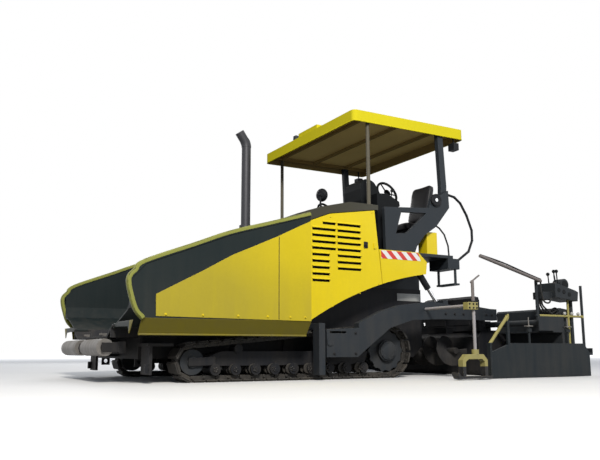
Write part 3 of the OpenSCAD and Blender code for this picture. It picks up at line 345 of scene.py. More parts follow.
def wing_regions(g):
    """Yellow raised panel of a wing, darkened towards its front and bottom by painted shade, and its foot
    in painted shade and soil; its outer wall stays in the band's colour.
    """
    c = colours()
    face, foot_top, foot_in = sizes().wing_y, 0.662, 1.48
    panel = g.side.between(face - 0.0045, face + 0.0015)
    # painted shade and soil on the foot of the wing
    foot = (g.z < foot_top) * (g.side > foot_in)
    # painted shade: the panel turns darker towards the front and the bottom
    forward, down = g.x.ramp(-0.9, -2.2), g.z.ramp(1.5, 0.8)
    painted_shade = (forward * 0.45 + down * 0.35 + 0.35).clamp()
    return [(panel, c.yellow), (panel * painted_shade, c.film), (foot, c.shade_and_soil)]


def roof_regions(g):
    """Painted shade under the canopy: the tray under its skin is a pale brownish yellow, lifted to stand in
    for bounce light, and its ribs and inner edges are a darker brown.
    """
    c = colours()
    wall, slack, tray_top, rib_foot = 0.02, 0.0005, 3.3855, 3.36
    inside = wall - slack
    x0, x1 = reach("canopy_roof", X)
    tray_y = reach("canopy_roof", Y)[1] - inside
    # painted shade: the tray and its underside take brown shade colours
    tray = (g.side < tray_y) * g.x.between(x0 + inside, x1 - inside) * (g.z < tray_top)
    underside_shade = tray * (g.facing_up() < -0.5) * (g.z > rib_foot)
    return [(tray, c.rib_shade), (underside_shade, c.underside_shade)]


def extension_regions(g):
    """Pale hose carrier and faded yellow rail and post on a screed extension."""
    c = colours()
    rail_y, half_bar = (2.106, 2.146), 0.017
    rail_x0, rail_z = 2.16, 0.77
    post_x, post_z = 2.70, (0.4, 0.985)
    carrier_y, carrier_z = 2.16, 1.188
    rails = g.side.between(*rail_y)
    rail = rails * g.z.near(rail_z, half_bar) * (g.x > rail_x0)
    post = rails * g.x.near(post_x, half_bar) * g.z.between(*post_z)
    carrier = (g.side > carrier_y) * (g.z > carrier_z)
    return [(carrier, c.carrier), ((rail + post).clamp(), c.faded)]


def gate_regions(g):
    """Faded yellow brace over an end gate."""
    foot_x, foot_z, slope = 1.235, 0.395, math.radians(47.12)
    half_bar, gate_top = 0.026, 0.425
    off = (g.x - foot_x) * math.sin(slope) - (g.z - foot_z) * math.cos(slope)
    return [(off.near(0.0, half_bar) * (g.z > gate_top), colours().faded)]


def sensor_regions(g):
    """Steel tube, rod and darker handle round a grade sensor's yellow clamp and arch, and its dark ski."""
    c = colours()
    tube_end, tube_foot = 2.209, 0.8
    rod_y, rod_z, handle_foot, ski_top = 2.2, (0.347, 0.803), 0.892, 0.152
    outer = g.side > rod_y
    tube = (g.z > tube_foot) * (g.side < tube_end)
    rod = outer * g.z.between(*rod_z)
    handle = outer * (g.z > handle_foot)
    return [((tube + rod).clamp(), c.pale), (handle, c.carrier), (g.z < ski_top, c.dark)]


def post_regions(g):
    """The two front posts of the canopy are paler than the rear ones."""
    front_end = 0.6
    return [(g.x < front_end, colours().post)]


def hazard_regions(g):
    """Slanting red stripes on white."""
    pitch = 0.16
    return [(((g.x + g.z) / pitch).fraction() > 0.5, colours().red)]


PAINTS = {
    "yellow": dict(name="yellow_paint", base="yellow", rough=0.38, coat=0.1, dust=0.2, wear=0.15,
                   shine=0.2),
    # painted shade and soil for the wings' foot and hem
    "shade_and_soil": dict(name="shade_and_soil_paint", base="shade_and_soil", rough=0.5, dust=0.6, wear=0.3, shine=0.15),
    "wing": dict(name="wing_paint", base="band", rough=0.45, dust=0.25, wear=0.25, shine=0.15,
                 regions=wing_regions),
    "roof": dict(name="roof_paint", base="lemon", rough=0.5, dust=0.15, shine=0.0, regions=roof_regions),
    "rim": dict(name="rim_paint", base="pale_rim", rough=0.45, dust=0.2, wear=0.7, worn="worn_rim",
                shine=0.25),
    "dark": dict(name="dark_paint", base="dark", rough=0.55, dust=0.25, wear=0.3, shine=0.15),
    "extension": dict(name="extension_paint", base="extension", rough=0.55, dust=0.25, wear=0.3, shine=0.15,
                      regions=extension_regions),
    "gate": dict(name="gate_paint", base="gate", rough=0.5, dust=0.2, dust_top=1.3, wear=0.4, shine=0.15,
                 regions=gate_regions),
    "sensor": dict(name="sensor_paint", base="faded", rough=0.4, dust=0.35, wear=0.5, worn="worn_yellow",
                   shine=0.3, regions=sensor_regions),
    "hood": dict(name="hood_paint", base="hood", rough=0.42, coat=0.1, dust=0.2, wear=0.2, shine=0.3),
    "grey": dict(name="grey_paint", base="grey", rough=0.5, dust=0.3, dust_top=1.3, wear=0.4, shine=0.18),
    "posts": dict(name="post_paint", base="grey", rough=0.5, dust=0.2, wear=0.4, shine=0.18,
                  regions=post_regions),
    "steel": dict(name="worn_steel", base="steel", rough=0.42, metal=0.85, dust=0.5, wear=0.3),
    "black_steel": dict(name="asphalt_steel", base="dark", rough=0.6, dust=0.4, wear=0.5, shine=0.2),
    "track": dict(name="track_steel", base="track", rough=0.6, metal=0.2, dust=0.6, dust_top=0.9, wear=0.7,
                  shine=0.3),
    "exhaust": dict(name="exhaust_steel", base="exhaust", rough=0.5, metal=0.3, dust=0.1, wear=0.2,
                    variation=0.25),
    "chrome": dict(name="rod_chrome", base="chrome", rough=0.12, metal=1.0, dust=0.05, bump=0.02),
    "cover": dict(name="seat_leather", base="cover", rough=0.5, dust=0.15, bump=0.4, shine=0.3),
    "rubber": dict(name="rubber", base="rubber", rough=0.65, dust=0.2, bump=0.3, shine=0.3),
    "hazard": dict(name="hazard_stripes", base="white", rough=0.4, dust=0.2, regions=hazard_regions),
    "plate": dict(name="blank_plate", base="plate", rough=0.4, dust=0.3),
    "lens": dict(name="lamp_lens", base="glass", rough=0.12, coat=0.6, dust=0.05, bump=0.02),
    "mirror": dict(name="mirror_glass", base="mirror", rough=0.03, metal=1.0, dust=0.0, bump=0.0),
    # also the painted shade sheets behind the louvres
    "panel": dict(name="plastic_and_slot_shade_paint", base="plastic", rough=0.55, dust=0.08, shine=0.1),
}
FINISHES = {}


def paint(kind):
    """The finish of a kind of piece, made when the first piece asks for it."""
    if kind not in FINISHES:
        FINISHES[kind] = finish(**PAINTS[kind])
    return FINISHES[kind]


# Shapes

SMOOTH_ANGLE = math.radians(35)


def smooth_path(points, steps):
    """A curve through points with so many steps from one to the next, as a list of Vectors."""
    p = [Vector(q) for q in points]
    p = [p[0] * 2 - p[1], *p, p[-1] * 2 - p[-2]]
    made = []
    for i in range(1, len(p) - 2):
        a, b, c, d = p[i - 1:i + 3]
        for t in (k / steps for k in range(steps)):
            bend = (a * 2 - b * 5 + c * 4 - d) * t * t
            twist = (b * 3 - a - c * 3 + d) * t ** 3
            made.append(0.5 * (b * 2 + (c - a) * t + bend + twist))
    return [*made, p[-2]]


def directions(path):
    """Direction of a path at each of its points."""
    last = len(path) - 1
    return [(path[min(i + 1, last)] - path[max(i - 1, 0)]).normalized() for i in range(len(path))]


def turns(count, closed=False):
    """Angles evenly round a circle. With closed, the first one comes again as a full turn at the end."""
    return [2 * math.pi * k / count for k in range(count + closed)]


def quads(rows, sides, first=0):
    """Faces between neighbouring rings of points, the first point of all being number first."""
    faces = []
    for i in range(rows - 1):
        near, far = first + i * sides, first + (i + 1) * sides
        faces += [[near + k, near + (k + 1) % sides, far + (k + 1) % sides, far + k] for k in range(sides)]
    return faces


class Shape:
    """A mesh gathered from simple forms."""

    def __init__(self):
        self.verts, self.faces = [], []

    def add(self, verts, faces):
        n = len(self.verts)
        self.verts += [Vector(v) for v in verts]
        self.faces += [tuple(n + i for i in f) for f in faces]
        return self

    def merge(self, other, place):
        """Adds another shape, moved by a matrix."""
        return self.add([place @ v for v in other.verts], other.faces)

    def take(self, made):
        """Adds what a bmesh holds and frees it."""
        made.verts.index_update()
        self.add([v.co for v in made.verts], [[v.index for v in f.verts] for f in made.faces])
        made.free()
        return self

    def skin(self, rings, ends=True):
        """A surface over rings of points, closed at both ends unless ends is off."""
        rows, sides = len(rings), len(rings[0])
        faces = quads(rows, sides)
        if ends:
            faces += [list(range(sides))[::-1], [(rows - 1) * sides + k for k in range(sides)]]
        return self.add([v for ring in rings for v in ring], faces)

    def box(self, low, high, cut=0.0):
        """A block whose edges are cut off by cut."""
        made = bmesh.new()
        bmesh.ops.create_cube(made, size=1.0)
        for v in made.verts:
            v.co = Vector([low[i] if v.co[i] < 0 else high[i] for i in range(3)])
        if cut:
            bmesh.ops.bevel(made, geom=made.edges[:], offset=cut, segments=1, affect="EDGES")
        return self.take(made)

    def prism(self, outline, depth, cut=0.0):
        """An outline of (x, z) points drawn out across, between the two numbers of depth."""
        n = len(outline)
        made = bmesh.new()
        near, far = [[made.verts.new((x, y, z)) for x, z in outline] for y in depth]
        made.faces.new(near)
        made.faces.new(far[::-1])
        for i in range(n):
            made.faces.new([near[i], far[i], far[(i + 1) % n], near[(i + 1) % n]][::-1])
        bmesh.ops.recalc_face_normals(made, faces=made.faces[:])
        if cut:
            edges = made.edges[:]
            bmesh.ops.bevel(made, geom=edges, offset=cut, segments=2, affect="EDGES", clamp_overlap=True)
        return self.take(made)

    def tube(self, points, radius, sides=10, ends=True):
        """A round tube along points. radius is a number, or one for each point."""
        path = [Vector(q) for q in points]
        radii = radius if hasattr(radius, "__len__") else [radius] * len(path)
        ahead = directions(path)
        side = ahead[0].orthogonal().normalized()
        rings = []
        for p, r, along in zip(path, radii, ahead):
            side = (side - along * side.dot(along)).normalized()
            up = along.cross(side)
            rings.append([p + (side * math.cos(a) + up * math.sin(a)) * r for a in turns(sides)])
        return self.skin(rings, ends)

    def disc(self, centre, axis, radius, depth, sides=24, cut=0.0):
        """A short cylinder from centre along axis, with its far edge cut off."""
        near = Vector(centre)
        along = Vector(axis).normalized()
        far = near + along * depth
        if cut:
            shoulder = near + along * (depth - cut)
            return self.tube([near, shoulder, far], [radius, radius, radius - cut], sides)
        return self.tube([near, far], radius, sides)

    def bolt(self, at, radius):
        """A hexagonal head on its washer, facing outwards."""
        washer_r, washer_h, head_h = radius * 1.5, radius * 0.3, radius * 1.1
        self.disc(at, OUT, washer_r, washer_h, 12)
        return self.disc(Vector(at) + OUT * washer_h, OUT, radius, head_h, 6)

    def ball(self, centre, radius):
        """A round knob."""
        rows, sides = 8, 14
        c = Vector(centre)
        verts = [c - UP * radius]
        for t in (math.pi * (i / rows - 0.5) for i in range(1, rows)):
            wide, high = math.cos(t), math.sin(t)
            for a in turns(sides):
                verts.append(c + Vector((wide * math.cos(a), wide * math.sin(a), high)) * radius)
        top = len(verts) - sides
        verts.append(c + UP * radius)
        faces = [[0, 1 + (k + 1) % sides, 1 + k] for k in range(sides)]
        faces += quads(rows - 1, sides, first=1)
        faces += [[top + sides, top + k, top + (k + 1) % sides] for k in range(sides)]
        return self.add(verts, faces)

    def mirrored(self, side):
        """This shape on a side: 1 leaves it on the right side, -1 mirrors it to the left one."""
        if side > 0:
            return self
        return Shape().add([(v.x, -v.y, v.z) for v in self.verts], [f[::-1] for f in self.faces])

    def place(self, name, body, kind, slot=None):
        """Makes the object, gives it a finish and lets it ride on a CAD body."""
        mesh = bpy.data.meshes.new(name)
        mesh.from_pydata(self.verts, [], self.faces)
        mesh.validate()
        mesh.shade_smooth()
        mesh.set_sharp_from_angle(angle=SMOOTH_ANGLE)
        mesh.materials.append(paint(kind))
        made = bpy.data.objects.new(name, mesh)
        bpy.context.scene.collection.objects.link(made)
        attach(made, body)
        return made


def both(name, body, kind, draw):
    """The same piece on both sides. A body's name may hold {side}; draw() makes the right side's shape."""
    for side, s in SIDES:
        draw().mirrored(s).place(f"{name}_{side}", body.format(side=side), kind)


# CAD frame

NODE_FINISH = {
    "yellow": ["rear_panels", "engine_door_left", "engine_door_right"],
    "sensor": ["grade_sensors"],
    "roof": ["canopy_roof"],
    "wing": ["wing_left", "wing_right"],
    "hood": ["hood", "hood_lid"],
    "dark": ["chassis", "push_beam", "track_frames", "seat_frames", "mirror", "grab_rails", "auger_case",
             "lift_barrel_left", "lift_barrel_right", "screed_main", "work_lamps"],
    "extension": ["screed_ext_left", "screed_ext_right"],
    "gate": ["end_gate_left", "end_gate_right"],
    "grey": ["platform", "side_frames", "tow_brackets", "tow_arms", "idler_wheels", "drive_sprockets"],
    "steel": ["conveyors", "push_roller_left", "push_roller_right", "engine_block"],
    "black_steel": ["hopper_body", "auger_left", "auger_right"],
    "track": ["track_left", "track_right"],
    "exhaust": ["exhaust"],
    "chrome": ["lift_rod_left", "lift_rod_right"],
    "cover": ["seat_cushions"],
    "panel": ["consoles"],
    "posts": ["canopy_posts"],
}


def dress_frame():
    for kind, nodes in NODE_FINISH.items():
        for node in nodes:
            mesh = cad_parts[node].data
            mesh.materials.clear()
            mesh.materials.append(paint(kind))


# Hopper wings

# Front and top edge of a wing: x and z of its outline, and how far the rim's middle lies from it in x and z
WING_EDGE = [
    (-2.84, 0.66, 0.0136, 0.0),
    (-2.92, 0.745, 0.0182, 0.0045),
    (-2.975, 0.90, 0.0205, 0.0),
    (-3.0, 1.02, 0.0205, -0.0036),
    (-2.985, 1.09, 0.0191, -0.0114),
    (-2.93, 1.15, 0.0136, -0.0182),
    (-2.83, 1.245, 0.0068, -0.0191),
    (-2.3, 1.453, 0.005, -0.0195),
    (-1.9, 1.61, 0.0036, -0.02),
    (-1.4, 1.7575, 0.0018, -0.02),
    (-0.9, 1.905, 0.0, -0.0205),
]


def draw_rim():
    """Flange along a wing's front and top edge, in section a rectangle with round corners."""
    half_wide, half_deep, power, inset = 0.036, 0.026, 4, 0.028
    y = sizes().wing_y - inset
    path = smooth_path([(x + dx, y, z + dz) for x, z, dx, dz in WING_EDGE], 6)
    rings = []
    for p, along in zip(path, directions(path)):
        away = Vector((-along.z, 0, along.x))
        ring = []
        for ca, sa in ((math.cos(a), math.sin(a)) for a in turns(12)):
            corner = (abs(ca) ** power + abs(sa) ** power) ** (1 / power)
            ring.append(p + (OUT * half_wide * ca + away * half_deep * sa) / corner)
        rings.append(ring)
    return Shape().skin(rings)


def draw_wing_seam():
    """Line where the two sheets of a wing's raised panel meet."""
    x, half_gap, foot, top = -1.312, 0.004, 0.672, 1.59
    y = sizes().wing_y
    return Shape().box((x - half_gap, y - 0.004, foot), (x + half_gap, y + 0.0015, top))


def draw_wing_bolts():
    """Row of bolts along the foot of a wing's raised panel."""
    shape = Shape()
    for x in (-2.6, -2.2, -1.8, -1.45, -1.17, -0.98):
        shape.bolt((x, sizes().wing_y, 0.70), radius=0.009)
    return shape


def draw_wing_hem():
    """Narrow bar under a wing's outer wall."""
    x0, x1, z0, z1 = -2.84, -0.9, 0.492, 0.512
    y = sizes().wing_y
    return Shape().box((x0, y - 0.152, z0), (x1, y - 0.112, z1), cut=0.004)


def wings():
    both("wing_rim", "wing_{side}", "rim", draw_rim)
    both("wing_seam", "wing_{side}", "dark", draw_wing_seam)
    both("wing_bolts", "wing_{side}", "yellow", draw_wing_bolts)
    # the hem gets the painted shade and soil of the wings' foot
    both("wing_hem", "wing_{side}", "shade_and_soil", draw_wing_hem)


# Side panels

LOUVRE_PITCH = 0.078
# Fields of louvres: front and rear end, height of the lowest louvre and number of louvres
LOUVRES = (
    (-0.68, -0.44, 1.15, 5),
    (-0.64, -0.35, 1.54, 4),
    (-0.50, -0.35, 1.852, 1),
    (-0.32, 0.02, 1.306, 8),
)
# Bolts round an engine door's edge: x and z
DOOR_BOLTS = (
    (-0.76, 0.70),
    (-0.4, 0.86),
    (0.0, 1.03),
    (0.28, 1.16),
    (0.2, 2.06),
    (-0.42, 1.95),
    (-0.72, 1.84),
)


def draw_slot_shade():
    """Near-black sheets behind the louvres, painted shade in their slots."""
    margin, thick = 0.02, 0.004
    y = sizes().half - 0.044
    shape = Shape()
    for x0, x1, z, n in LOUVRES:
        top = z + n * LOUVRE_PITCH - 0.015
        shape.box((x0 - margin, y, z - margin), (x1 + margin, y + thick, top))
    return shape


def draw_latch():
    """Latch of an engine door and the leaves of its two hinges with their bolts."""
    y = sizes().half
    leaf_t = 0.006
    shape = Shape()
    shape.box((0.065, y, 1.60), (0.125, y + 0.012, 1.68), cut=0.004)
    shape.box((0.075, y + 0.010, 1.625), (0.115, y + 0.026, 1.650), cut=0.006)
    for z in (0.9, 1.55):
        shape.box((-0.785, y, z - 0.03), (-0.72, y + leaf_t, z + 0.04), cut=0.002)
        for dz in (-0.01, 0.02):
            shape.bolt((-0.75, y + leaf_t, z + dz), radius=0.007)
    return shape


def draw_door_bolts():
    shape = Shape()
    for x, z in DOOR_BOLTS:
        shape.bolt((x, sizes().half, z), radius=0.006)
    return shape


def draw_stripes():
    """Hazard strip stuck on a rear panel."""
    foot, top, film = 1.487, 1.592, 0.0025
    y = sizes().half
    return Shape().prism([(0.335, foot), (0.965, foot), (0.93, top), (0.33, top)], (y, y + film))


def draw_blank_plate():
    """Blank plate on the chassis' side."""
    y, thick = 0.899, 0.006
    return Shape().box((0.85, y, 0.99), (1.24, y + thick, 1.09), cut=0.002)


def panels():
    # painted shade: near-black sheets that darken the louvre slots
    both("louvre_shade_sheets", "engine_door_{side}", "panel", draw_slot_shade)
    both("door_latch", "engine_door_{side}", "dark", draw_latch)
    both("door_bolts", "engine_door_{side}", "yellow", draw_door_bolts)
    both("hazard_strip", ROOT, "hazard", draw_stripes)
    both("blank_plate", ROOT, "plate", draw_blank_plate)


# Tracks

# How far the first shoe's middle lies from the foot of the idler, in shoes
FIRST_SHOE = 0.42


def belt(s, off):
    """A track's middle line at length s, which is 0 at the foot of the idler and grows rearwards.

    Gives the place (x, z) moved outwards by off, the angle that points outwards there and the whole length.
    """
    z = sizes()
    half = z.belt_t / 2
    run = z.sprocket_x - z.idler_x
    rise = math.atan2(z.sprocket_r - z.idler_r, run)
    rear_r, front_r = z.sprocket_r - half, z.idler_r - half
    rear_axle, front_axle = Vector((z.sprocket_x, z.sprocket_r)), Vector((z.idler_x, z.idler_r))
    bend_end = run + (math.pi + 2 * rise) * rear_r
    top_end = bend_end + run
    total = top_end + (math.pi - 2 * rise) * front_r
    foot_angle, top_angle = -math.pi / 2, math.pi / 2 + 2 * rise
    if s < run:
        return Vector((z.idler_x + s, half - off)), foot_angle, total
    if s < bend_end:
        a = foot_angle + (s - run) / rear_r
        return rear_axle + Vector((math.cos(a), math.sin(a))) * (rear_r + off), a, total
    if s < top_end:
        a = top_angle
        start = rear_axle + Vector((math.cos(a), math.sin(a))) * (rear_r + off)
        return start + Vector((-math.sin(a), math.cos(a))) * (s - bend_end), a, total
    a = top_angle + (s - top_end) / front_r
    return front_axle + Vector((math.cos(a), math.sin(a))) * (front_r + off), a, total


def shoe_pitch():
    """Length of one shoe along the track's middle line."""
    return belt(0, 0)[2] / sizes().shoes


def shoe_place(s):
    """Matrix from a shoe's own frame (x along the track, z outwards) to its place."""
    p, a, _ = belt(s, sizes().belt_t / 2)
    along = Vector((-math.sin(a), 0, math.cos(a)))
    away = Vector((math.cos(a), 0, math.sin(a)))
    return Matrix.Translation((p.x, 0, p.y)) @ Matrix((along, OUT, away)).transposed().to_4x4()


def round_track(one):
    """The shape of one shoe, repeated round the track."""
    shape = Shape()
    for i in range(sizes().shoes):
        shape.merge(one, shoe_place((i + FIRST_SHOE) * shoe_pitch()))
    return shape


def draw_pads():
    """Pads of a track's shoes."""
    z = sizes()
    foot, face, height, inset = 0.40 * shoe_pitch(), 0.34 * shoe_pitch(), 0.016, 0.012
    outline = [(-foot, -height), (-face, 0), (face, 0), (foot, -height)]
    return round_track(Shape().prism(outline, (z.track_in + inset, z.track_out - inset)))


def draw_plates():
    """Plates of a track's shoes, each with two chain links, a pin and four bolt heads."""
    z = sizes()
    pitch = shoe_pitch()
    mid = (z.track_in + z.track_out) / 2
    plate_top, plate_foot = -0.014, -0.028
    link_wide, pin_long, pin_r = 0.03, 0.15, 0.013
    head_r, head_h = 0.011, 0.01
    link = [(-0.55, -0.055), (-0.45, -0.069), (0.35, -0.069), (0.5, -0.055),
            (0.5, -0.035), (0.35, -0.028), (-0.45, -0.028), (-0.55, -0.04)]
    half_plate = 0.44 * pitch
    one = Shape()
    one.box((-half_plate, z.track_in, plate_foot), (half_plate, z.track_out, plate_top), cut=0.003)
    for y in (mid - 0.062, mid + 0.032):
        one.prism([(x * pitch, h) for x, h in link], (y, y + link_wide))
    one.disc((-0.46 * pitch, mid - pin_long / 2, -0.050), OUT, pin_r, pin_long, 10)
    for y in (mid - 0.1, mid + 0.1):
        for x in (-0.2, 0.2):
            one.disc((x * pitch, y, plate_foot), -UP, head_r, head_h, 6)
    return round_track(one)


def draw_roller_rims():
    """Flanges of the bottom rollers and the bolts of their caps."""
    count, first_x, last_x, z = 9, -1.89, 0.0, 0.1323
    flange_r, flange_t, cap_y, bolt_ring = 0.0615, 0.018, 1.255, 0.02
    shape = Shape()
    for i in range(count):
        x = first_x + (last_x - first_x) * i / (count - 1)
        for y in (1.02, 1.115, 1.20):
            shape.disc((x, y, z), OUT, flange_r, flange_t, 24, cut=0.004)
        for a in turns(5):
            shape.bolt((x + bolt_ring * math.cos(a), cap_y, z + bolt_ring * math.sin(a)), radius=0.005)
    return shape


def draw_final_drive():
    """Domed cap over a sprocket with its ring of bolts."""
    x, h = sizes().sprocket_x, sizes().sprocket_r
    bolt_ring = 0.105
    dome = [(1.235, 0.118), (1.248, 0.112), (1.258, 0.07), (1.262, 0.03)]
    shape = Shape().tube([(x, y, h) for y, _ in dome], [r for _, r in dome], 36)
    for a in turns(12):
        shape.bolt((x + bolt_ring * math.cos(a), 1.236, h + bolt_ring * math.sin(a)), radius=0.009)
    return shape


def undercarriage():
    for side, s in SIDES:
        plates = draw_plates().mirrored(s).place(f"track_plates_{side}", ROOT, "track", "track_shoes")
        draw_pads().mirrored(s).place(f"track_pads_{side}", ROOT, "track", "track_shoes")
        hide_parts(f"track_{side}")
    both("roller_rims", ROOT, "track", draw_roller_rims)
    both("final_drive", ROOT, "grey", draw_final_drive)


# Hopper


def draw_chain():
    """Links of one side's two conveyor chains, narrow and wide ones in turn."""
    links, pitch, first_x, half_long = 40, 0.1, -2.82, 0.056
    z0, z1, half_t = 0.520, 0.542, 0.003
    shape = Shape()
    for y in (0.10, 0.66):
        for i in range(links):
            x = first_x + i * pitch
            off = 0.016 if i % 2 else 0.009
            for e in (y - off, y + off):
                shape.box((x - half_long, e - half_t, z0), (x + half_long, e + half_t, z1))
    return shape


def draw_push_caps():
    """Caps on both ends of a push roller."""
    x, z = middle("push_roller_right", X), middle("push_roller_right", Z)
    gap, thick, cap_r = 0.002, 0.004, 0.05
    shape = Shape()
    for end, way in zip(reach("push_roller_right", Y), (-1, 1)):
        shape.disc((x, end + gap * way, z), OUT * way, cap_r, thick)
    return shape


def hopper():
    both("conveyor_chain", ROOT, "steel", draw_chain)
    both("roller_caps", "push_roller_{side}", "dark", draw_push_caps)


# Hood and canopy


def draw_hood_seams():
    """Raised seams along the hood's sheets."""
    shape = Shape()
    for y in (0.85, 1.1):
        seam = smooth_path([(-0.83, y, 1.968), (-0.55, y, 2.071), (-0.13, y, 2.171), (0.29, y, 2.171)], 4)
        shape.tube(seam, 0.003, 6)
    return shape


def draw_roof_edges():
    """Rolled lip round the canopy's lower edge, on one side from its front to its rear."""
    inset, corner, lip_r = 0.005, 0.055, 0.008
    x0, x1 = reach("canopy_roof", X)
    x0, x1, y = x0 + inset, x1 - inset, reach("canopy_roof", Y)[1] - inset
    z = reach("canopy_roof", Z)[0] + 0.003
    front = [(x0, 0.0), (x0, y - corner), (x0 + 0.015, y - 0.01), (x0 + corner, y)]
    rear = [(x1 - corner, y), (x1 - 0.015, y - 0.01), (x1, y - corner), (x1, 0.0)]
    return Shape().tube([(*p, z) for p in front + rear], lip_r, 8)


def draw_beacon():
    """Beacon's foot and its low dome on the canopy."""
    x, y, z = 0.05, 0.42, 3.41
    dome = [(0.02, 0.048), (0.09, 0.045), (0.105, 0.02)]
    shape = Shape().disc((x, y, z), UP, 0.06, 0.02)
    return shape.tube([(x, y, z + h) for h, _ in dome], [r for _, r in dome], 24)


def deck():
    both("hood_seams", ROOT, "dark", draw_hood_seams)
    both("roof_lip", ROOT, "roof", draw_roof_edges)
    draw_beacon().place("roof_beacon", ROOT, "grey")


# Driving station

# Pads of the right seat: piece, size, crown of its faces, place of its middle and tilt in degrees
PADS = (
    ("seat_cushion", (0.40, 0.46, 0.095), 0.18, (1.15, 0.8, 2.0), 0),
    ("seat_back", (0.56, 0.44, 0.075), 0.25, (1.385, 0.8, 2.36), -78),
)
MOST_SWELL = 0.008
# Middle of a side lamp, and how far its face stands out from the tractor's side
LAMP_X, LAMP_Z, LAMP_OUT = 1.25, 2.33, 0.027


def pillow(name, size, crown):
    """A padded block: rounded, crowned on its faces, its sides drawn in, then inflated as cloth."""
    cuts, roundness, drawn_in = 9, 7, 0.045
    made = bmesh.new()
    bmesh.ops.create_cube(made, size=1.0)
    bmesh.ops.subdivide_edges(made, edges=made.edges[:], cuts=cuts, use_grid_fill=True)
    for v in made.verts:
        p = v.co * 2
        q = p / max(sum(abs(c) ** roundness for c in p) ** (1 / roundness), 1e-6)
        u, w = abs(q.x), abs(q.y)
        pull = 1 - drawn_in * (1 - u ** 2) * w ** 6 - drawn_in * (1 - w ** 2) * u ** 6
        swell = 1 + crown * (1 - min(1, u * u)) * (1 - min(1, w * w))
        v.co = Vector((q.x * size[X] / 2 * pull, q.y * size[Y] / 2 * pull, q.z * size[Z] / 2 * swell))
    mesh = bpy.data.meshes.new(name)
    made.to_mesh(mesh)
    made.free()
    mesh.shade_smooth()
    pad = bpy.data.objects.new(name, mesh)
    bpy.context.scene.collection.objects.link(pad)
    inflate(pad)
    mesh.materials.append(paint("cover"))
    return pad


def inflate(pad):
    """Swells a mesh by cloth pressure for a few frames; no point moves by more than MOST_SWELL."""
    last_frame, pressure = 15, 4.0
    scene = bpy.context.scene
    start = [v.co.copy() for v in pad.data.vertices]
    cloth = pad.modifiers.new("swell", "CLOTH")
    cloth.settings.use_pressure = True
    cloth.settings.uniform_pressure_force = pressure
    cloth.settings.effector_weights.gravity = 0.0
    for f in range(1, last_frame + 1):
        scene.frame_set(f)
    shown = pad.evaluated_get(bpy.context.evaluated_depsgraph_get()).data
    ends = [v.co.copy() for v in shown.vertices]
    pad.modifiers.remove(cloth)
    scene.frame_set(1)
    for v, a, b in zip(pad.data.vertices, start, ends):
        d = b - a
        v.co = a + d * min(1.0, MOST_SWELL / max(d.length, 1e-9))


def seats():
    """Cushion and backrest of both seats. The cushions stand for the CAD's one node of cushions."""
    pads = [(name, pillow(name, size, crown), at, tilt) for name, size, crown, at, tilt in PADS]
    for side, s in SIDES:
        for name, source, at, tilt in pads:
            mesh = source.data.copy()
            turn = Matrix.Rotation(math.radians(tilt), 4, "Y")
            mesh.transform(Matrix.Translation((at[X], at[Y] * s, at[Z])) @ turn)
            o = bpy.data.objects.new(f"{name}_{side}", mesh)
            bpy.context.scene.collection.objects.link(o)
            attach(o, ROOT)
            if side == "left" and name == "seat_cushion":
                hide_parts("seat_cushions")
    for _, source, _, _ in pads:
        bpy.data.objects.remove(source)


def draw_controls():
    """Desk, two levers and steering wheel of a console."""
    shape = Shape()
    desk = [(0.6127, 2.3818), (0.7755, 2.3046), (0.7807, 2.3154), (0.6179, 2.3926)]
    shape.prism(desk, (0.56, 1.04), cut=0.002)
    for y in (0.58, 1.02):
        shape.tube([(0.70, y, 2.345), (0.715, y, 2.44)], 0.008, 8)
        shape.ball((0.718, y, 2.455), 0.022)
    hub, wheel_r = Vector((0.795, 0.80, 2.47)), 0.165
    uphill, axis = Vector((-0.62, 0, 0.785)), (0.785, 0, 0.62)
    spokes = [uphill * wheel_r * math.cos(a) + OUT * wheel_r * math.sin(a) for a in turns(28, closed=True)]
    rim = [hub + spoke for spoke in spokes]
    shape.tube(rim, 0.017, 8, ends=False)
    shape.tube([(0.68, 0.80, 2.35), hub], 0.026, 10)
    shape.disc(hub, axis, 0.05, 0.024, 16, cut=0.005)
    for k in (0, 9, 19):
        shape.tube([hub, rim[k]], 0.009, 6)
    return shape


def draw_mirror_glass():
    """Round glass in the rear face of the mirror's housing."""
    centre, tilt, yaw = Vector((0.15, -0.1, 2.515)), math.radians(82), math.radians(30)
    off, glass_r, thick = 0.045, 0.088, 0.003
    facing = Vector((math.sin(tilt) * math.cos(yaw), math.sin(tilt) * math.sin(yaw), math.cos(tilt)))
    return Shape().disc(centre + facing * off, facing, glass_r, thick, 32)


def draw_lens():
    """Lens of a side lamp."""
    return Shape().disc((LAMP_X, sizes().half + LAMP_OUT, LAMP_Z), OUT, 0.026, 0.006, 20, cut=0.003)


def draw_lamp_rim():
    """Raised ring and cap round a side lamp's lens."""
    y, ring_r = sizes().half + LAMP_OUT, 0.072
    angles = turns(28, closed=True)
    ring = [(LAMP_X + ring_r * math.cos(a), y, LAMP_Z + ring_r * math.sin(a)) for a in angles]
    shape = Shape().tube(ring, 0.006, 8, ends=False)
    return shape.disc((LAMP_X, y - 0.002, LAMP_Z), OUT, 0.04, 0.006, 20, cut=0.003)


def station():
    seats()
    both("console_controls", ROOT, "panel", draw_controls)
    both("side_lamp_lens", ROOT, "lens", draw_lens)
    both("side_lamp_rim", ROOT, "dark", draw_lamp_rim)
    draw_mirror_glass().place("mirror_glass", ROOT, "mirror")


# Tow arms and screed


def draw_arm_bolts():
    """Bolts at a tow arm's front end and in a row along its rear."""
    y, row_z = reach("tow_arms", Y)[1], 0.80
    front = [(-0.2, 0.30), (-0.2, 0.54), (-0.5, 0.30)]
    row = [(x, row_z) for x in (1.2, 1.35, 1.5, 1.9, 2.0)]
    shape = Shape()
    for x, z in front + row:
        shape.bolt((x, y, z), radius=0.012)
    return shape


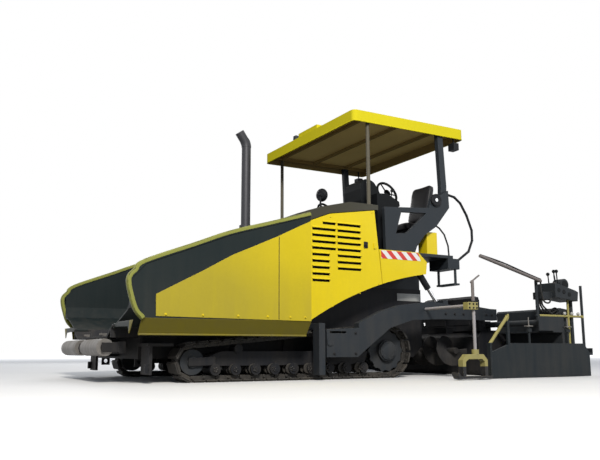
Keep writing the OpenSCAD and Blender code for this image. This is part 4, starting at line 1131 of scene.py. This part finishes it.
def draw_arm_hoses():
    """Steel lines clipped to a tow arm's inner side."""
    y, line_r = 1.352, 0.008
    shape = Shape()
    for k in range(3):
        up, less = 0.03 * k, 0.025 * k
        route = [(0.5, y, 0.80 + up), (0.98, y, 0.84 + up), (1.5, y, 0.80 + less), (1.95, y, 0.79 + less)]
        shape.tube(smooth_path(route, 5), line_r, 8)
    return shape


def draw_screed_covers():
    """Lids, doors and catches of the service boxes on one side of the main screed."""
    pitch, lid_w, door_inset, catch_w = 0.49, 0.46, 0.02, 0.03
    shape = Shape()
    for y in (0.14, 0.14 + pitch):
        shape.box((1.992, y, 1.066), (2.09, y + lid_w, 1.078), cut=0.004)
        shape.box((1.957, y + door_inset, 0.68), (1.966, y + lid_w - door_inset, 0.95), cut=0.003)
        for h in (0.08, 0.36):
            shape.box((1.950, y + h, 0.90), (1.960, y + h + catch_w, 0.94), cut=0.003)
    return shape


def draw_ext_details():
    """Switches, dials and levers on an extension's control box."""
    desk_x, desk_z, fall = 2.40, 1.195, 0.2368
    shape = Shape()
    for x in (2.44 + 0.05 * k for k in range(4)):
        z = desk_z - fall * (x - desk_x)
        for y in (2.17, 2.06, 1.95):
            shape.disc((x, y, z - 0.003), (0.23, 0, 0.97), 0.011, 0.012, 10)
    lean, stick_foot = 0.015, 1.15
    for x, y, top in ((2.50, 2.02, 1.31), (2.57, 2.10, 1.345), (2.66, 1.98, 1.36)):
        shape.tube([(x, y, stick_foot), (x - lean, y, top)], 0.008, 8)
        shape.ball((x - lean, y, top + 0.012), 0.024)
    for x, z in ((2.47, 1.10), (2.56, 1.08), (2.66, 1.05)):
        shape.disc((x, 2.199, z), OUT, 0.028, 0.006, 20, cut=0.002)
    return shape.disc((2.70, 2.099, 1.19), OUT, 0.05, 0.008, 24, cut=0.003)


def draw_ext_hoses():
    """Hoses from the control box to the extension's body, a loop beside the box and one on the carrier."""
    hose_r, carrier_y = 0.011, 2.195
    shape = Shape()
    for k in range(3):
        y, sag, apart = 2.02 + 0.035 * k, 0.03 * k, 0.02 * k
        route = [(2.30 - apart, y, 0.99), (2.28, y, 0.90), (2.33 + sag, y + 0.01, 0.82),
                 (2.46, y, 0.84 - sag), (2.62, y - 0.02, 0.88 - sag), (2.66 + apart, y, 0.77)]
        shape.tube(smooth_path(route, 7), hose_r, 8)
    loop = [(2.33, 2.185, 0.99), (2.27, 2.20, 0.93), (2.18, 2.20, 0.95), (2.145, 2.195, 1.08),
            (2.15, 2.19, 1.19)]
    shape.tube(smooth_path(loop, 7), hose_r, 8)
    carried = [(x, carrier_y, z) for x, z in ((1.135, 1.474), (1.5, 1.40), (1.9, 1.29), (2.15, 1.224))]
    return shape.tube(smooth_path(carried, 6), 0.010, 8)


def draw_ext_knobs():
    """Pale knobs on an extension's rail."""
    shape = Shape()
    for x in (2.62, 2.76, 2.88):
        shape.ball((x, 2.135, 0.805), 0.022)
    return shape


def draw_gate_wheels():
    """Hand wheels on the spindles of an end gate."""
    y, wheel_z, wheel_r, foot = 2.165, 0.63, 0.05, 0.60
    angles = turns(20, closed=True)
    shape = Shape()
    for x in (1.92, 2.62):
        shape.tube([(x, y, foot), (x, y, 0.74)], 0.008, 8)
        ring = [(x + wheel_r * math.cos(a), y + wheel_r * math.sin(a), wheel_z) for a in angles]
        shape.tube(ring, 0.007, 8, ends=False)
        shape.tube([(x - wheel_r, y, wheel_z), (x + wheel_r, y, wheel_z)], 0.005, 6)
        shape.tube([(x, y, foot), (x, y, 0.635)], 0.010, 8)
    return shape


def draw_clamp():
    """Bolts and knob of the clamp that holds a grade sensor."""
    shape = Shape()
    for z in (0.825, 0.87):
        for x in (0.84, 0.90, 0.95):
            shape.bolt((x, 2.29, z), radius=0.008)
    return shape.disc((0.935, 2.25, 0.889), UP, 0.028, 0.02, 16, cut=0.003)


def screed():
    both("arm_bolts", "screed", "dark", draw_arm_bolts)
    both("arm_lines", "screed", "dark", draw_arm_hoses)
    both("heater_covers", "screed", "dark", draw_screed_covers)
    both("extension_details", "extension_{side}", "panel", draw_ext_details)
    both("extension_hoses", "extension_{side}", "rubber", draw_ext_hoses)
    both("extension_knobs", "extension_{side}", "plate", draw_ext_knobs)
    both("gate_wheels", "extension_{side}", "steel", draw_gate_wheels)
    both("clamp_bolts", "screed", "dark", draw_clamp)


# Stage

SKY_TINT = (0.72, 0.82, 1.0, 1.0)
SKY_STRENGTH = 0.36
WHITE = (1.0, 1.0, 1.0)
BLACK = (0.0, 0.0, 0.0)
FLOOR_X = (-60, 80)
FLOOR_Y = (-40, 120)
FADE_START, FADE_END = 7.0, 40.0

# Lamps: name, place, what it is aimed at, size, power and tint
LAMPS = (
    ("key", (-6.0, -13.5, 10.5), (-0.3, -0.5, 1.2), 3.0, 3000, (1.0, 0.97, 0.92)),
    ("fill", (9.0, -9.0, 5.0), (0.5, 0, 1.2), 6.0, 180, (0.92, 0.96, 1.0)),
    ("back", (2.0, 12.0, 8.0), (0, 0, 1.5), 6.0, 500, WHITE),
)

# The photograph's view: where its camera stands, how it is turned, and its focal length and width in pixels
CAMERA_AT = (-4.964, -8.534, 0.332)
CAMERA_YAW, CAMERA_PITCH, CAMERA_ROLL = (math.radians(a) for a in (29.544, 9.667, -0.141))
FOCAL_PIXELS = 710.314
PHOTO_WIDTH = 600
SENSOR_WIDTH = 36.0


def area_light(name, at, target, size, power, tint):
    lamp = bpy.data.lights.new(name, "AREA")
    lamp.shape = "DISK"
    lamp.size = size
    lamp.energy = power
    lamp.color = tint
    o = bpy.data.objects.new(name, lamp)
    bpy.context.scene.collection.objects.link(o)
    o.location = at
    o.rotation_euler = (Vector(target) - Vector(at)).to_track_quat("-Z", "Y").to_euler()
    return o


def backdrop():
    """White where the camera, glass and metal look past the floor, soft sky light elsewhere."""
    world = bpy.data.worlds.new("studio")
    bpy.context.scene.world = world
    world.use_nodes = True
    g = Graph(world.node_tree)
    g.tree.nodes.remove(g.tree.nodes["Background"])
    sky = g.node("Background", {"Color": SKY_TINT, "Strength": SKY_STRENGTH})
    white = g.node("Background", {"Color": (*WHITE, 1.0), "Strength": 1.0})
    look = g.node("MixShader", {0: g.seen_directly(), 1: sky, 2: white})
    g.feed(g.tree.nodes["World Output"].inputs["Surface"], look)


def floor_paint():
    """A floor that is pale where it is seen, dull as it lights the machine, and fades to white far away."""
    c = colours()
    g = PaintGraph("floor")
    patches = g.noise(scale=0.6, detail=4.0)
    pale = g.mix(g.seen_directly(), c.ground, c.floor)
    g.into("Base Color", g.scaled(pale, 1.0 + (patches - 0.5) * 0.08))
    g.into("Roughness", 0.85)
    away = g.node("VectorMath", {0: g.place}, out="Value", operation="LENGTH")
    g.into("Emission Color", g.mix(g.seen_directly() * away.ramp(FADE_START, FADE_END), BLACK, WHITE))
    g.into("Emission Strength", 1.0)
    return g.material


def camera():
    """The photograph's view: low, from the machine's front left."""
    yaw, pitch, roll = CAMERA_YAW, CAMERA_PITCH, CAMERA_ROLL
    ahead = Vector((math.sin(yaw) * math.cos(pitch), math.cos(yaw) * math.cos(pitch), math.sin(pitch)))
    level = Vector((math.cos(yaw), -math.sin(yaw), 0))
    over = level.cross(ahead)
    right = level * math.cos(roll) + over * math.sin(roll)
    up = over * math.cos(roll) - level * math.sin(roll)
    data = bpy.data.cameras.new("camera")
    data.sensor_width = SENSOR_WIDTH
    data.lens = SENSOR_WIDTH * FOCAL_PIXELS / PHOTO_WIDTH
    data.clip_start = 0.05
    data.clip_end = 300
    o = bpy.data.objects.new("camera", data)
    bpy.context.scene.collection.objects.link(o)
    o.matrix_world = Matrix.Translation(CAMERA_AT) @ Matrix((right, up, -ahead)).transposed().to_4x4()
    bpy.context.scene.camera = o


def stage():
    mesh = bpy.data.meshes.new("floor")
    (x0, x1), (y0, y1) = FLOOR_X, FLOOR_Y
    mesh.from_pydata([(x0, y0, 0), (x1, y0, 0), (x1, y1, 0), (x0, y1, 0)], [], [(0, 1, 2, 3)])
    mesh.materials.append(floor_paint())
    floor = bpy.data.objects.new("floor", mesh)
    bpy.context.scene.collection.objects.link(floor)
    lamps = [area_light(*lamp) for lamp in LAMPS]
    backdrop()
    camera()
    bpy.context.scene.view_settings.view_transform = "Standard"


# Add-on


class PAVER_OT_frame(bpy.types.Operator):
    """Give every CAD node of the frame its finish"""

    bl_idname = "paver.frame"
    bl_label = "Finish the Frame"

    def execute(self, context):
        dress_frame()
        return {"FINISHED"}


class PAVER_OT_wings(bpy.types.Operator):
    """Add painted shade sheets behind the louvres, latches, bolts, hazard strips and blank plates to the
    side panels
    """

    bl_idname = "paver.wings"
    bl_label = "Detail the Wings"

    def execute(self, context):
        wings()
        return {"FINISHED"}


class PAVER_OT_panels(bpy.types.Operator):
    """Add screens, latches, bolts, hazard strips and blank plates to the side panels"""

    bl_idname = "paver.panels"
    bl_label = "Detail the Panels"

    def execute(self, context):
        panels()
        return {"FINISHED"}


class PAVER_OT_undercarriage(bpy.types.Operator):
    """Add shoes, links, roller rims and drive covers to the tracks"""

    bl_idname = "paver.undercarriage"
    bl_label = "Detail the Tracks"

    def execute(self, context):
        undercarriage()
        return {"FINISHED"}


class PAVER_OT_hopper(bpy.types.Operator):
    """Add chains to the conveyors and caps to the push rollers"""

    bl_idname = "paver.hopper"
    bl_label = "Detail the Hopper"

    def execute(self, context):
        hopper()
        return {"FINISHED"}


class PAVER_OT_deck(bpy.types.Operator):
    """Add seams, lips and the beacon to hood and canopy"""

    bl_idname = "paver.deck"
    bl_label = "Detail the Deck"

    def execute(self, context):
        deck()
        return {"FINISHED"}


class PAVER_OT_station(bpy.types.Operator):
    """Add seats, controls, lamp lenses and the mirror's glass"""

    bl_idname = "paver.station"
    bl_label = "Detail the Driving Station"

    def execute(self, context):
        station()
        return {"FINISHED"}


class PAVER_OT_screed(bpy.types.Operator):
    """Add covers, lines, hoses, wheels and bolts to tow arms and screed"""

    bl_idname = "paver.screed"
    bl_label = "Detail the Screed"

    def execute(self, context):
        screed()
        return {"FINISHED"}


class PAVER_OT_stage(bpy.types.Operator):
    """Add floor, lamps, backdrop and camera"""

    bl_idname = "paver.stage"
    bl_label = "Set the Stage"

    def execute(self, context):
        stage()
        return {"FINISHED"}


class PAVER_PT_panel(bpy.types.Panel):
    """Buttons for the paver's piece groups, and its sizes and colours"""

    bl_label = "Paver"
    bl_space_type = "VIEW_3D"
    bl_region_type = "UI"
    bl_category = "Paver"

    def draw(self, context):
        for step in STEPS:
            self.layout.operator(step.bl_idname)
        for group in (context.scene.paver_sizes, context.scene.paver_colours):
            for key in group.__annotations__:
                self.layout.prop(group, key)


STEPS = (PAVER_OT_frame, PAVER_OT_wings, PAVER_OT_panels, PAVER_OT_undercarriage, PAVER_OT_hopper,
         PAVER_OT_deck, PAVER_OT_station, PAVER_OT_screed, PAVER_OT_stage)
CLASSES = (PaverColours, PaverSizes, *STEPS, PAVER_PT_panel)


def register():
    for c in CLASSES:
        bpy.utils.register_class(c)
    bpy.types.Scene.paver_colours = PointerProperty(type=PaverColours)
    bpy.types.Scene.paver_sizes = PointerProperty(type=PaverSizes)


def unregister():
    del bpy.types.Scene.paver_sizes
    del bpy.types.Scene.paver_colours
    for c in reversed(CLASSES):
        bpy.utils.unregister_class(c)


def main():
    register()
    for step in STEPS:
        area, name = step.bl_idname.split(".")
        getattr(getattr(bpy.ops, area), name)()


if __name__ == "__main__":
    main()
